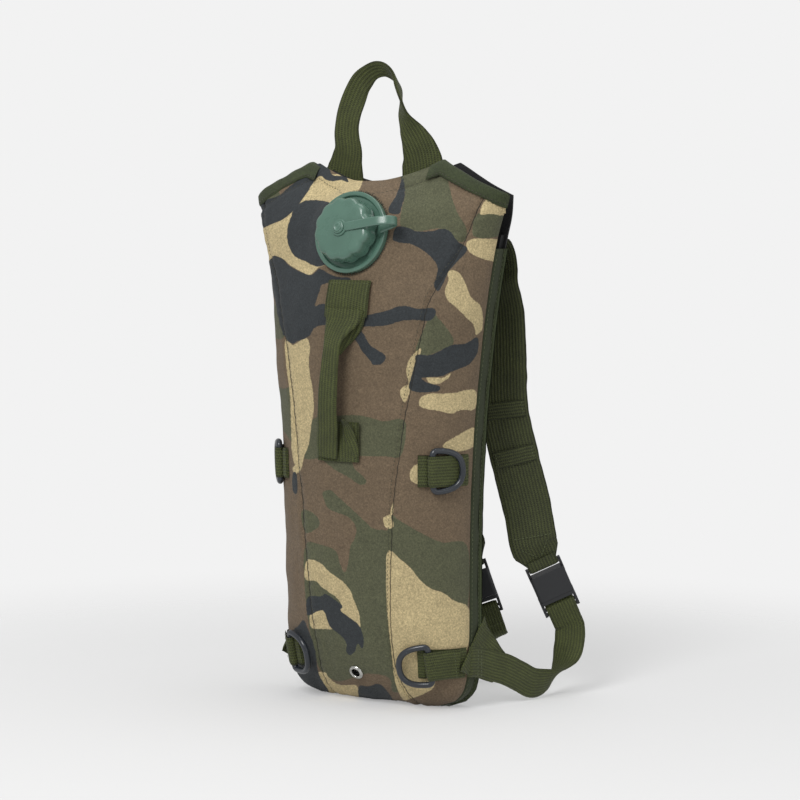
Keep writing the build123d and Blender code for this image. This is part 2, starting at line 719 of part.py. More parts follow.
def make_strap_stub():
    """Top of the right strap, sewn to the back panel and arched over to hang down."""
    points = [(80, 1.2, 350), (80, 1.8, 364), (81, 6.5, 375), (83, 14.5, 376.5), (85.2, 22, 367),
              (86, 24.3, 348.5)]
    return ribbon([(p, (1, 0, 0), WIDE_WEBBING) for p in points], WEBBING, 20)


def make_low_anchor():
    """Right lower anchor: a triangle of webbing that narrows to the strap's width."""
    rows = [(88.4, -15.0, 53.5, 54.0), (88.8, -7.0, 47.0, 47.0), (90.2, 2.0, 40.0, 39.0),
            (93.2, 11.0, 32.5, 30.0), (96.0, 18.0, 27.6, 25.5), (98.2, 23.2, 27.0, 25.0)]
    return ribbon([((x, y, z), (0, 0, 1), width) for x, y, z, width in rows], WEBBING, 12)


def make_ladder_webbing(side):
    """End of the narrow webbing, folded round the plug's bars and stitched as a free tail."""
    half = NARROW_WEBBING / 2
    lift = STRAPS[side]["main_side"] * LADDER_LAYER
    top = plate(-half, half, LADDER_FOLD, LADDER_TOP_END, WEBBING / 2)
    tail = plate(-half, half, LADDER_FOLD, LADDER_TAIL_END, WEBBING / 2)
    half_t = WEBBING / 2
    fold = plate(-half, half, LADDER_FOLD - half_t, LADDER_FOLD + half_t, LADDER_LAYER + half_t)
    stack = Pos(0, 0, lift) * top + Pos(0, 0, -lift) * tail + fold
    return buckle_frame(side) * stack


def make_narrow_strap(side):
    """Long run of narrow webbing from beside the plug to the lower anchor, with a quarter twist."""
    spec = STRAPS[side]
    n = spec["main_side"] * MAIN_LAYER
    flat = spec["across"]
    keys = []
    for s in (MAIN_START, (MAIN_START + spec["straight_end"]) / 2, spec["straight_end"]):
        point = in_buckle(side, s, n)
        keys.append(((point.X, point.Y, point.Z), flat, NARROW_WEBBING))
    for point, across in spec["tail"]:
        keys.append((point, across, NARROW_WEBBING))
    return ribbon(keys, WEBBING, 36)


# ---- export ----

def export(name, shape):
    """Write one node. A list is a group of separate solids."""
    parts = shape if isinstance(shape, (list, tuple)) else [shape]
    solids = [solid for part in parts for solid in part.solids()]
    out = solids[0] if len(solids) == 1 else Compound(children=solids)
    out.label = name
    export_step(out, f"parts/{name}.step")


def export_pair(name, right):
    export(f"{name}_right", right)
    export(f"{name}_left", mirrored(right))


def main():
    os.makedirs("parts", exist_ok=True)
    export("front_center_panel", make_front_center_panel())
    export_pair("front_side_panel", make_front_side_panel())
    export("foam_liner", make_foam_liner())
    export("side_band", make_side_band())
    export("back_panel", make_back_panel())
    export("back_foam", make_back_foam())
    export("edge_binding", make_edge_binding())
    export_pair("shoulder_binding", make_shoulder_binding())
    export("hook_strip", make_hook_strip())
    export("top_flap", make_top_flap())
    export("loop_strip", make_loop_strip())
    export("haul_loop", make_haul_loop())
    export("haul_loop_tabs", make_haul_loop_tabs())
    export("front_handle", make_front_handle())
    for where in RINGS:
        export_pair(f"d_ring_{where}", make_d_ring(where))
        export_pair(f"ring_loop_{where}", make_ring_loop(where))
    export("filler_neck", make_filler_neck())
    export("screw_cap", make_screw_cap())
    export("cap_gasket", make_cap_gasket())
    export("cap_button", make_cap_button())
    export("cap_tether", make_cap_tether())
    export("tether_tab", make_tether_tab())
    export("bladder", make_bladder())
    export("bladder_outlet", make_bladder_outlet())
    export("drinking_tube", make_drinking_tube())
    export("bite_valve", make_bite_valve())
    export("drain_eyelet", make_drain_eyelet())
    export("drain_washer", make_drain_washer())
    export_pair("strap_stub", make_strap_stub())
    export_pair("low_anchor", make_low_anchor())
    for side in STRAPS:
        export(f"shoulder_strap_{side}", make_shoulder_strap(side))
        export(f"tube_keepers_{side}", make_tube_keepers(side))
        export(f"buckle_socket_{side}", make_socket(side))
        export(f"buckle_plug_{side}", make_plug(side))
        export(f"prong_outer_{side}", make_prong(side, 1))
        export(f"prong_inner_{side}", make_prong(side, -1))
        export(f"ladder_webbing_{side}", make_ladder_webbing(side))
        export(f"narrow_strap_{side}", make_narrow_strap(side))


main()
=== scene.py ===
import math

import bpy
import numpy as np
from mathutils import Matrix, Vector


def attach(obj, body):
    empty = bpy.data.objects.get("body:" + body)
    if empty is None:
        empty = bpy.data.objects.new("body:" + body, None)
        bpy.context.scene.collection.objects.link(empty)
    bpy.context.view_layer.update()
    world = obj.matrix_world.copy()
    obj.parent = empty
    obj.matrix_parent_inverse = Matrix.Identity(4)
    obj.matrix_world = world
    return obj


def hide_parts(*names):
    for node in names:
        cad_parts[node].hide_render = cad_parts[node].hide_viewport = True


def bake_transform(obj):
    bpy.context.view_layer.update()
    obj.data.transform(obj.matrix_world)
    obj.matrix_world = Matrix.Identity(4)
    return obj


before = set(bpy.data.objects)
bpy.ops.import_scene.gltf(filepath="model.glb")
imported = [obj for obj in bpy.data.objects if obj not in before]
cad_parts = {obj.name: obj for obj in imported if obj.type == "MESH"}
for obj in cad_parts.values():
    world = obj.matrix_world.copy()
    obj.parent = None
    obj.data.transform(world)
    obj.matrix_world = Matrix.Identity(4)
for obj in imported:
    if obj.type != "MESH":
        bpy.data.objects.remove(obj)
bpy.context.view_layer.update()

# Lengths below are millimetres in the row frame; meshes are written in metres.
MM = 0.001
DEG = math.pi / 180

# ---- dimensions shared with the CAD part ----
EDGE_DEPTH = 16.0
SHOULDER_PEAK = (56.0, 440.0)
RIGHT_PEAK_X = 64.0              # the fabric's right peak sits further out than the left one
SHOULDER_SLOPE = -0.4806
TOP_SAG = 424.0
OPENING_HEIGHT = 371.0
FOLD_HEIGHT = 389.0
STATIONS = np.array([
    (0, 58, 18), (6, 74, 32), (16, 81.5, 43), (30, 84.5, 52), (65, 86, 63), (115, 86, 70),
    (170, 86.8, 73.5),
    (230, 90, 74.5), (300, 97, 73.2), (330, 101, 69.3), (351, 104.5, 63), (383, 111, 55.6), (400, 116, 50),
    (420, 121, 38), (446, 126, 19)], float)
SEAM_ROWS = np.array([(-5, 42), (40, 37), (115, 40.5), (167, 44), (222, 51), (288, 63), (328, 76),
                      (368, 96),
                      (410, 109), (450, 114)], float)
# How far the right seam of the sewn front runs inside the left one's mirror image: (height, mm).
RIGHT_SEAM_SHIFT = np.array([(-5, 0), (270, 0), (306, 2), (328, 6.5), (349, 8), (385, 7), (410, 5),
                             (450, 4)], float)
FILLER_CENTRE = np.array([0.0, -59.4, 383.5])
FILLER_TILT = 12.4 * DEG
DRAIN_Z = 27.0

# ---- camera ----
CAMERA_YAW = 32.4 * DEG
CAMERA_PITCH = 3.9 * DEG
CAMERA_ROLL = 0.2 * DEG
CAMERA_DISTANCE = 2000.0
CAMERA_AIM = (7.6, 245.9)        # sideways and up from the origin
CAMERA_LENS = 109.17
CAMERA_SENSOR = 36.0


# ---- small maths ----

def unit(v):
    v = np.asarray(v, float)
    return v / np.linalg.norm(v, axis=-1, keepdims=True)


def smoothstep(x, low, high):
    t = np.clip((x - low) / (high - low), 0, 1)
    return t * t * (3 - 2 * t)


def monotone(rows, z, column):
    """Monotone cubic interpolation of one column of rows at heights z."""
    zs, vs = rows[:, 0], rows[:, column]
    slopes = np.diff(vs) / np.diff(zs)
    product = slopes[:-1] * slopes[1:]
    total = np.where(product > 0, slopes[:-1] + slopes[1:], 1.0)
    inner = np.where(product > 0, 2 * product / total, 0.0)
    tangents = np.concatenate([slopes[:1], inner, slopes[-1:]])
    z = np.asarray(z, float)
    i = np.clip(np.searchsorted(zs, z) - 1, 0, len(zs) - 2)
    h = zs[i + 1] - zs[i]
    t = (z - zs[i]) / h
    return ((2 * t**3 - 3 * t**2 + 1) * vs[i] + (t**3 - 2 * t**2 + t) * h * tangents[i]
            + (3 * t**2 - 2 * t**3) * vs[i + 1] + (t**3 - t**2) * h * tangents[i + 1])


def half_width(z):
    return monotone(STATIONS, z, 1)


def depth(z):
    return monotone(STATIONS, z, 2)


def seam_x(z, side=-1):
    """Distance of a seam from the middle, on the left (-1) or the right (1)."""
    right = (np.asarray(side) > 0) * monotone(RIGHT_SEAM_SHIFT, z, 1)
    return monotone(SEAM_ROWS, z, 1) - right


def top_z(x):
    """Height of the pack's top edge at x."""
    pz = SHOULDER_PEAK[1]
    px = np.where(np.asarray(x) > 0, RIGHT_PEAK_X, SHOULDER_PEAK[0])
    x = np.abs(x)
    sag = pz + (TOP_SAG - pz) * np.sin(np.clip(1 - x / px, 0, 1) * math.pi / 2)
    return np.where(x < px, sag, pz + SHOULDER_SLOPE * (x - px))


def front_point(a, z, out=0.0):
    """Point on the front at angle a from the middle and height z, out above the fabric."""
    wide = half_width(z) + out
    deep = depth(z) - EDGE_DEPTH + out
    return np.stack([wide * np.sin(a), -EDGE_DEPTH - deep * np.cos(a), z + 0 * a], -1)


def front_at(x, z, out=0.0):
    a = np.arcsin(np.clip(np.asarray(x, float) / half_width(z), -1, 1))
    return front_point(a, np.asarray(z, float) + 0 * a, out)


def front_frame(x, z):
    """Origin, direction to +X along the fabric, direction up the fabric, outward normal."""
    p = front_at(x, z)
    dx = unit(front_at(x + 1, z) - front_at(x - 1, z))
    dz = unit(front_at(x, z + 1) - front_at(x, z - 1))
    n = unit(np.cross(dx, dz))
    return p, unit(np.cross(dz, n)), dz, n


RANDOM = np.random.default_rng(7)
WAVES = [(RANDOM.normal(size=3), RANDOM.uniform(0, 6.28)) for _ in range(24)]


def ripple(p, size, first=0, count=8):
    """Smooth repeatable noise in about -1..1 at points p with features of about size."""
    total = 0
    for direction, phase in WAVES[first:first + count]:
        total = total + np.sin(p @ (direction * 2.6 / size) + phase)
    return total / math.sqrt(count)


def catmull(points, t):
    points = np.asarray(points, float)
    last = len(points) - 1
    x = np.clip(np.asarray(t, float), 0, 1) * last
    i = np.minimum(x.astype(int), last - 1)
    f = (x - i)[:, None]
    padded = np.vstack([2 * points[0] - points[1], points, 2 * points[-1] - points[-2]])
    p0, p1, p2, p3 = padded[i], padded[i + 1], padded[i + 2], padded[i + 3]
    return 0.5 * (2 * p1 + (p2 - p0) * f + (2 * p0 - 5 * p1 + 4 * p2 - p3) * f**2
                  + (3 * p1 - p0 - 3 * p2 + p3) * f**3)


# ---- meshes ----

class Sheet:
    """Grids of points gathered into one mesh, with a UV in millimetres and one number or more per point."""

    def __init__(self):
        self.points, self.quads, self.uvs, self.numbers, self.count = [], [], [], {}, 0

    def grid(self, p, uv=None, wrap_cols=False, drop=None, **numbers):
        rows, cols = p.shape[:2]
        i = np.arange(rows * cols).reshape(rows, cols) + self.count
        if uv is None:
            along = np.concatenate([[0], np.cumsum(np.linalg.norm(np.diff(p, axis=0), axis=-1).mean(1))])
            over = np.concatenate([[0], np.cumsum(np.linalg.norm(np.diff(p, axis=1), axis=-1).mean(0))])
            uv = np.stack(np.meshgrid(over, along), -1)
        if wrap_cols:
            i = np.hstack([i, i[:, :1]])
            uv = np.pad(uv, ((0, 0), (0, 1), (0, 0)), mode="edge")
            uv[:, -1, 0] += np.linalg.norm(p[:, 0] - p[:, -1], axis=-1).mean()
        quads = np.stack([i[:-1, :-1], i[:-1, 1:], i[1:, 1:], i[1:, :-1]], -1).reshape(-1, 4)
        corner = np.stack([uv[:-1, :-1], uv[:-1, 1:], uv[1:, 1:], uv[1:, :-1]], -2).reshape(-1, 4, 2)
        if drop is not None:
            keep = ~drop.reshape(-1)
            quads, corner = quads[keep], corner[keep]
        self.points.append(p.reshape(-1, 3))
        self.quads.append(quads)
        self.uvs.append(corner)
        for name, value in numbers.items():
            self.numbers.setdefault(name, []).append(np.asarray(value, float).reshape(-1))
        self.count += rows * cols
        return self

    def build(self, name, material):
        points = np.vstack(self.points) * MM
        quads = np.vstack(self.quads)
        uvs = np.vstack(self.uvs).reshape(-1, 2)
        mesh = bpy.data.meshes.new(name)
        mesh.vertices.add(len(points))
        mesh.vertices.foreach_set("co", points.astype(np.float32).ravel())
        mesh.loops.add(quads.size)
        mesh.loops.foreach_set("vertex_index", quads.astype(np.int32).ravel())
        mesh.polygons.add(len(quads))
        mesh.polygons.foreach_set("loop_start", np.arange(0, quads.size, 4, dtype=np.int32))
        layer = mesh.uv_layers.new(name="UVMap")
        mesh.update(calc_edges=True)
        layer.data.foreach_set("uv", uvs.astype(np.float32).ravel())
        for key, values in self.numbers.items():
            attribute = mesh.attributes.new(key, "FLOAT", "POINT")
            attribute.data.foreach_set("value", np.concatenate(values).astype(np.float32))
        mesh.validate(clean_customdata=False)
        mesh.polygons.foreach_set("use_smooth", np.ones(len(mesh.polygons), bool))
        obj = bpy.data.objects.new(name, mesh)
        bpy.context.scene.collection.objects.link(obj)
        obj.data.materials.append(material)
        return obj


def settle(obj, body, slot, *nodes):
    """Put a piece on its body, in place of the CAD nodes it shows."""
    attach(obj, body)
    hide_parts(*nodes)


def sew(thread, name, body, material="thread"):
    """Build gathered stitches as one piece on a body."""
    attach(thread.build(name, MATERIALS[material]), body)


def frames_along(points, acrosses):
    tangent = unit(np.gradient(points, axis=0))
    across = unit(acrosses - tangent * (acrosses * tangent).sum(-1, keepdims=True))
    return across, unit(np.cross(tangent, across))


def sample_keys(keys, step):
    """Keys of (point, across, width) sampled every step millimetres along their smooth curve."""
    points = [k[0] for k in keys]
    acrosses = [unit(k[1]) for k in keys]
    widths = [[k[2]] for k in keys]
    t = np.linspace(0, 1, 400)
    fine = catmull(points, t)
    length = np.concatenate([[0], np.cumsum(np.linalg.norm(np.diff(fine, axis=0), axis=-1))])
    rows = max(4, int(length[-1] / step))
    at = np.interp(np.linspace(0, length[-1], rows + 1), length, t)
    along = np.linspace(0, length[-1], rows + 1)
    return catmull(points, at), catmull(acrosses, at), catmull(widths, at)[:, 0], along


def ribbon(sheet, keys, thick, step=3.0, cols=13, cup=0.0, wobble=0.0):
    """Flat webbing through keys; cup bows it across its width and wobble makes its edges uneven."""
    points, acrosses, widths, along = sample_keys(keys, step)
    across, normal = frames_along(points, acrosses)
    if wobble:
        widths = widths * (1 + wobble * ripple(points, 14.0))
        points = points + normal * (wobble * 10 * ripple(points, 30.0, 8))[:, None]
    s = np.linspace(-1, 1, cols)
    half = thick / 2 * np.sqrt(np.clip(1 - s**12, 0, 1))
    loop_s = np.concatenate([s, s[::-1]])
    loop_h = np.concatenate([half, -half[::-1]])
    x = widths[:, None] / 2 * loop_s[None, :]
    h = loop_h[None, :] + cup * (1 - loop_s[None, :]**2)
    p = points[:, None] + across[:, None] * x[..., None] + normal[:, None] * h[..., None]
    uv = np.stack([x, np.broadcast_to(along[:, None], x.shape)], -1)
    sheet.grid(p, uv, wrap_cols=True)
    for end in (0, -1):
        cap = np.stack([p[end, :cols], p[end, cols:][::-1]])
        if end == 0:
            cap = cap[::-1]
        sheet.grid(cap, np.stack([uv[end, :cols], uv[end, :cols] + 0.5]))
    return points, across, normal


def stitches(sheet, path, normals, length=2.4, gap=1.3, width=0.55, lift=0.15):
    """A run of stitches along path: short rounded dashes that stand a little proud."""
    path, normals = np.asarray(path, float), unit(normals)
    run = np.concatenate([[0], np.cumsum(np.linalg.norm(np.diff(path, axis=0), axis=-1))])
    starts = np.arange(gap / 2, run[-1] - length, length + gap)
    profile = [(0.0, 0.3, -0.1), (0.15, 1.0, 0.6), (0.5, 1.0, 1.0), (0.85, 1.0, 0.6), (1.0, 0.3, -0.1)]

    def at(s, values):
        return np.stack([np.interp(s, run, values[:, k]) for k in range(3)], -1)

    for start in starts:
        rows = []
        for f, wide, high in profile:
            s = start + f * length
            p, n = at(s, path), at(s, normals)
            t = at(s + 0.3, path) - at(s - 0.3, path)
            if np.linalg.norm(t) < 1e-6:
                break
            side = unit(np.cross(unit(t), n)) * width / 2 * wide
            top = p + n * (lift + width * 0.5 * high)
            rows.append([p - side, top - side * 0.5, top + side * 0.5, p + side])
        if len(rows) == len(profile):
            sheet.grid(np.array(rows))


def revolve(sheet, profile, origin, axis, x_dir, segments=96, radius=None):
    """Turned shape from a profile of (radius, height); radius may change it with (angle, r, h)."""
    axis, x_dir = unit(axis), unit(x_dir)
    y_dir = np.cross(axis, x_dir)
    a = np.linspace(0, 2 * math.pi, segments, endpoint=False)
    profile = np.asarray(profile, float)
    r = profile[:, :1] + 0 * a[None]
    h = profile[:, 1:] + 0 * a[None]
    if radius is not None:
        r = radius(a[None], r, h)
    p = (np.asarray(origin) + r[..., None] * (np.cos(a)[None, :, None] * x_dir + np.sin(a)[None, :,
                                                                                           None] * y_dir)
         + h[..., None] * axis)
    sheet.grid(p, wrap_cols=True)
    return sheet


def round_corners(points, radius, steps=4):
    """A polyline with each inner corner replaced with a small arc."""
    points = [np.asarray(p, float) for p in points]
    out = [points[0]]
    for a, b, c in zip(points, points[1:], points[2:]):
        r = min(radius, np.linalg.norm(a - b) / 2.1, np.linalg.norm(c - b) / 2.1)
        start, end = b + unit(a - b) * r, b + unit(c - b) * r
        for k in range(steps + 1):
            t = k / steps
            out.append((1 - t)**2 * start + 2 * t * (1 - t) * b + t**2 * end)
    out.append(points[-1])
    return np.array(out)


# ---- materials ----

def srgb(r, g, b):
    def linear(c):
        c /= 255
        return c / 12.92 if c <= 0.04045 else ((c + 0.055) / 1.055)**2.4
    return (linear(r), linear(g), linear(b), 1.0)


class Shader:
    """A material's node tree. Nodes are made with new(); their inputs take values or other nodes' sockets."""

    def __init__(self, name):
        self.material = bpy.data.materials.new(name)
        self.material.use_nodes = True
        self.tree = self.material.node_tree
        self.tree.nodes.clear()
        self.output = self.tree.nodes.new("ShaderNodeOutputMaterial")

    def new(self, kind, inputs=(), **settings):
        node = self.tree.nodes.new("ShaderNode" + kind)
        for key, value in settings.items():
            setattr(node, key, value)
        for key, value in dict(inputs).items():
            socket = node.inputs[key]
            if isinstance(value, bpy.types.NodeSocket):
                self.tree.links.new(value, socket)
            else:
                socket.default_value = value
        return node

    def math(self, operation, a, b=0.0, c=0.0):
        return self.new("Math", {0: a, 1: b, 2: c}, operation=operation).outputs[0]

    def mix(self, factor, a, b, blend="MIX"):
        node = self.new("Mix", {0: factor, 6: a, 7: b}, data_type="RGBA", blend_type=blend)
        return node.outputs[2]

    def place(self):
        return self.new("TexCoord").outputs["Object"]

    def noise(self, size, detail=3.0, rough=0.55, place=None):
        """Noise in 0..1 with features of about size millimetres."""
        inputs = {"Vector": place or self.place(), "Scale": 1 / (size * MM), "Detail": detail,
                  "Roughness": rough}
        return self.new("TexNoise", inputs).outputs["Fac"]

    def span(self, value, low, high, to_low=0.0, to_high=1.0):
        node = self.new("MapRange", {"Value": value, "From Min": low, "From Max": high, "To Min": to_low,
                                     "To Max": to_high}, interpolation_type="SMOOTHSTEP")
        return node.outputs[0]

    def uv(self):
        parts = self.new("SeparateXYZ", {0: self.new("UVMap").outputs[0]})
        return parts.outputs[0], parts.outputs[1]

    def number(self, name):
        return self.new("Attribute", attribute_name=name).outputs["Fac"]

    def tone(self, colour, *parts):
        """Colour made lighter and darker by each (value in 0..1, amount)."""
        for value, amount in parts:
            grey = self.span(value, 0.25, 0.75, 1 - amount, 1 + amount)
            shade = self.new("CombineColor", {0: grey, 1: grey, 2: grey}).outputs[0]
            colour = self.mix(1.0, colour, shade, "MULTIPLY")
        return colour

    def finish(self, colour, rough, bumps=(), **extra):
        """Principled surface. bumps is a list of (height in 0..1, millimetres)."""
        normal = None
        for height, distance in bumps:
            inputs = {"Height": height, "Distance": distance * MM, "Strength": 1.0}
            if normal is not None:
                inputs["Normal"] = normal
            normal = self.new("Bump", inputs).outputs[0]
        inputs = {"Base Color": colour, "Roughness": rough}
        if normal is not None:
            inputs["Normal"] = normal
        inputs.update({key.replace("_", " "): value for key, value in extra.items()})
        surface = self.new("BsdfPrincipled", inputs)
        self.tree.links.new(surface.outputs[0], self.output.inputs[0])
        return self.material


SAND = srgb(198, 180, 136)
BROWN = srgb(113, 96, 75)
GREEN = srgb(88, 90, 66)
BLACK = srgb(47, 52, 55)
WEBBING_GREEN = srgb(74, 81, 38)
STRAP_GREEN = srgb(66, 72, 36)
TAPE_GREEN = srgb(60, 70, 38)


def cloth_grain(s):
    """Height and tone of a coarse plain weave."""
    u, v = s.uv()
    warp = s.math("SINE", s.math("MULTIPLY", u, 2 * math.pi / 1.1))
    weft = s.math("SINE", s.math("MULTIPLY", v, 2 * math.pi / 1.1))
    weave = s.math("MULTIPLY_ADD", s.math("MULTIPLY", warp, weft), 0.5, 0.5)
    return weave, s.noise(1.3, 4.0, 0.7), s.noise(9.0, 3.0)


def camo_material():
    s = Shader("camo_fabric")
    weave, grain, blotch = cloth_grain(s)
    jitter = s.math("MULTIPLY_ADD", s.noise(3.0, 4.0, 0.6), 1.6, -0.8)
    thread = s.noise(1.9, 5.0, 0.85)
    colour = BROWN
    for name, ink in (("green", GREEN), ("sand", SAND), ("black", BLACK)):
        edge = s.math("ADD", s.number(name), jitter)
        colour = s.mix(s.span(edge, -0.35, 0.35, 1.0, 0.0), colour, ink)
    colour = s.tone(colour, (grain, 0.30), (thread, 0.26), (weave, 0.10), (blotch, 0.05),
                    (s.noise(70.0, 2.0), 0.05))
    # Painted shade: a near-black line is painted along the bottom of each seam's crease.
    fold = s.span(s.math("ABSOLUTE", s.number("seam")), 0.1, 0.6)
    colour = s.mix(fold, srgb(34, 32, 26), colour)
    return s.finish(colour, 0.8, [(weave, 0.16), (grain, 0.3), (thread, 0.2), (blotch, 0.35)],
                    Sheen_Weight=0.06, Sheen_Roughness=0.5)


def plain_cloth(name, colour, rough=0.8, sheen=0.15):
    s = Shader(name)
    weave, grain, blotch = cloth_grain(s)
    colour = s.tone(colour, (grain, 0.16), (weave, 0.10), (blotch, 0.08))
    return s.finish(colour, rough, [(weave, 0.12), (grain, 0.25), (blotch, 0.3)], Sheen_Weight=sheen)


def back_material():
    """Green outside of the back; the flap above the fold is black."""
    s = Shader("green_back")
    weave, grain, blotch = cloth_grain(s)
    colour = s.mix(s.number("flap"), srgb(52, 60, 36), srgb(24, 25, 26))
    colour = s.tone(colour, (grain, 0.18), (weave, 0.12), (blotch, 0.08))
    return s.finish(colour, 0.8, [(weave, 0.14), (grain, 0.25), (blotch, 0.3)], Sheen_Weight=0.1)


def webbing_material(name, colour, period, depth_mm=0.35, dark=0.42, weft=1.5):
    """Ribbed webbing: ribs along its length every period, crossed by the weft; the grooves between the ribs
    get painted shade, their colour multiplied by dark.
    """
    s = Shader(name)
    u, v = s.uv()
    wander = s.math("MULTIPLY_ADD", s.noise(7.0, 2.0), 0.9, -0.45)
    rib = s.math("COSINE", s.math("MULTIPLY", s.math("ADD", u, wander), 2 * math.pi / period))
    rib = s.math("MULTIPLY_ADD", rib, 0.5, 0.5)
    shift = s.math("MULTIPLY", s.math("FLOOR", s.math("DIVIDE", u, period)), math.pi)
    pick = s.math("COSINE", s.math("ADD", s.math("MULTIPLY", v, 2 * math.pi / weft), shift))
    pick = s.math("MULTIPLY_ADD", pick, 0.5, 0.5)
    grain, blotch = s.noise(1.2, 4.0, 0.7), s.noise(12.0, 3.0)
    # Painted shade: the colour of the grooves between the ribs is darkened by the factor dark.
    groove_shade = tuple(c * dark for c in colour[:3]) + (1.0,)
    base = s.mix(s.span(rib, 0.1, 0.75), groove_shade, colour)
    fleck = s.noise(2.1, 5.0, 0.85)
    base = s.tone(base, (pick, 0.22), (grain, 0.26), (fleck, 0.2), (blotch, 0.12))
    return s.finish(base, 0.74, [(rib, depth_mm), (pick, 0.22), (grain, 0.25)], Sheen_Weight=0.08,
                    Sheen_Roughness=0.4)


def fuzzy_material(name, colour, size):
    s = Shader(name)
    spots = s.new("TexVoronoi", {"Vector": s.place(), "Scale": 1 / (size * MM)}).outputs["Distance"]
    grain = s.noise(0.8, 4.0, 0.8)
    return s.finish(s.tone(colour, (spots, 0.35), (grain, 0.3)), 0.9, [(spots, 0.5), (grain, 0.3)],
                    Sheen_Weight=0.4)


def thread_material(name, colour):
    s = Shader(name)
    grain = s.noise(0.6, 3.0)
    return s.finish(s.tone(colour, (grain, 0.2)), 0.6, [(grain, 0.08)], Sheen_Weight=0.3)


def plastic_material(name, colour, rough, edge_highlight, coat):
    """Moulded plastic with soft mottling, fine scuffs and painted highlights: its convex edges are painted in
    a paler colour.
    """
    s = Shader(name)
    mottle, scuff = s.noise(14.0, 3.0), s.noise(0.9, 5.0, 0.75)
    # Painted highlight: convex edges, found by pointiness, are mixed half way towards the paler highlight
    # colour given as the fourth argument.
    edge = s.span(s.new("NewGeometry").outputs["Pointiness"], 0.51, 0.56)
    colour = s.mix(s.math("MULTIPLY", edge, 0.5), s.tone(colour, (mottle, 0.06), (scuff, 0.03)), edge_highlight)
    shine = s.span(mottle, 0.3, 0.7, rough - 0.05, rough + 0.08)
    return s.finish(colour, shine, [(scuff, 0.03), (mottle, 0.1)], Coat_Weight=coat, Coat_Roughness=0.25)


def metal_material():
    s = Shader("eyelet_metal")
    scratch = s.noise(0.7, 5.0, 0.8)
    tarnish = s.noise(3.0, 3.0)
    colour = s.mix(s.span(tarnish, 0.4, 0.8), srgb(214, 214, 210), srgb(150, 148, 140))
    return s.finish(colour, s.span(scratch, 0.3, 0.7, 0.14, 0.34), [(scratch, 0.03)], Metallic=1.0)


def film_material():
    s = Shader("bladder_film")
    cloud, crease = s.noise(40.0, 3.0), s.noise(6.0, 3.0)
    return s.finish(s.tone(srgb(176, 196, 190), (cloud, 0.08)), 0.25, [(crease, 0.4)],
                    Transmission_Weight=0.45, Coat_Weight=0.3)


def floor_material(colour):
    """Pale floor that fades into the background away from the object."""
    s = Shader("floor")
    reach = s.new("VectorMath", {0: s.place()}, operation="LENGTH").outputs["Value"]
    clear = s.new("BsdfTransparent")
    matte = s.new("BsdfDiffuse", {"Color": colour})
    fade = s.new("MixShader", {0: s.span(reach, 0.25, 0.8, 0.35, 1.0), 1: matte.outputs[0],
                               2: clear.outputs[0]})
    s.tree.links.new(fade.outputs[0], s.output.inputs[0])
    return s.material


MATERIALS = {
    "camo": camo_material(),
    "lining": plain_cloth("black_lining", srgb(22, 23, 24), 0.7, 0.05),
    "band": plain_cloth("green_band", srgb(48, 56, 30), 0.75, 0.05),
    "back": back_material(),
    "tape": webbing_material("binding_tape", TAPE_GREEN, 1.3, 0.15, 0.7, 1.1),
    "wide": webbing_material("webbing_wide", WEBBING_GREEN, 2.9, 0.3, 0.6),
    "strap": webbing_material("webbing_strap", STRAP_GREEN, 2.6, 0.25, 0.5, 1.6),
    "narrow": webbing_material("webbing_narrow", WEBBING_GREEN, 2.4, 0.3, 0.58),
    "hook": fuzzy_material("hook_tape", srgb(20, 21, 22), 1.4),
    "loop": fuzzy_material("loop_tape", srgb(26, 27, 28), 0.9),
    "thread": thread_material("green_thread", srgb(82, 90, 54)),
    "dark_thread": thread_material("dark_thread", srgb(62, 60, 44)),
    # The fourth value of each plastic is the paler colour of its painted edge highlights.
    "cap": plastic_material("green_plastic", srgb(86, 120, 105), 0.26, srgb(112, 146, 132), 0.5),
    "dark_plastic": plastic_material("black_plastic", srgb(40, 45, 52), 0.3, srgb(82, 90, 100), 0.4),
    "buckle": plastic_material("buckle_plastic", srgb(12, 13, 15), 0.4, srgb(44, 46, 50), 0.15),
    "metal": metal_material(),
    "film": film_material(),
    "tube": plastic_material("tube_plastic", srgb(70, 84, 66), 0.4, srgb(120, 130, 110), 0.1),
    "rubber": plastic_material("rubber", srgb(46, 50, 44), 0.65, srgb(90, 92, 84), 0.0),
}


# ---- the camouflage print ----
# The patches lie on a plane that faces the camera 1.94 m away, in millimetres sideways and up.
# They were traced from the photograph, at a constant 0.8 mm for each of its pixels.

PRINT_PLANE = 1940.8
PRINT_SHIFT = (8.0, 245.0)

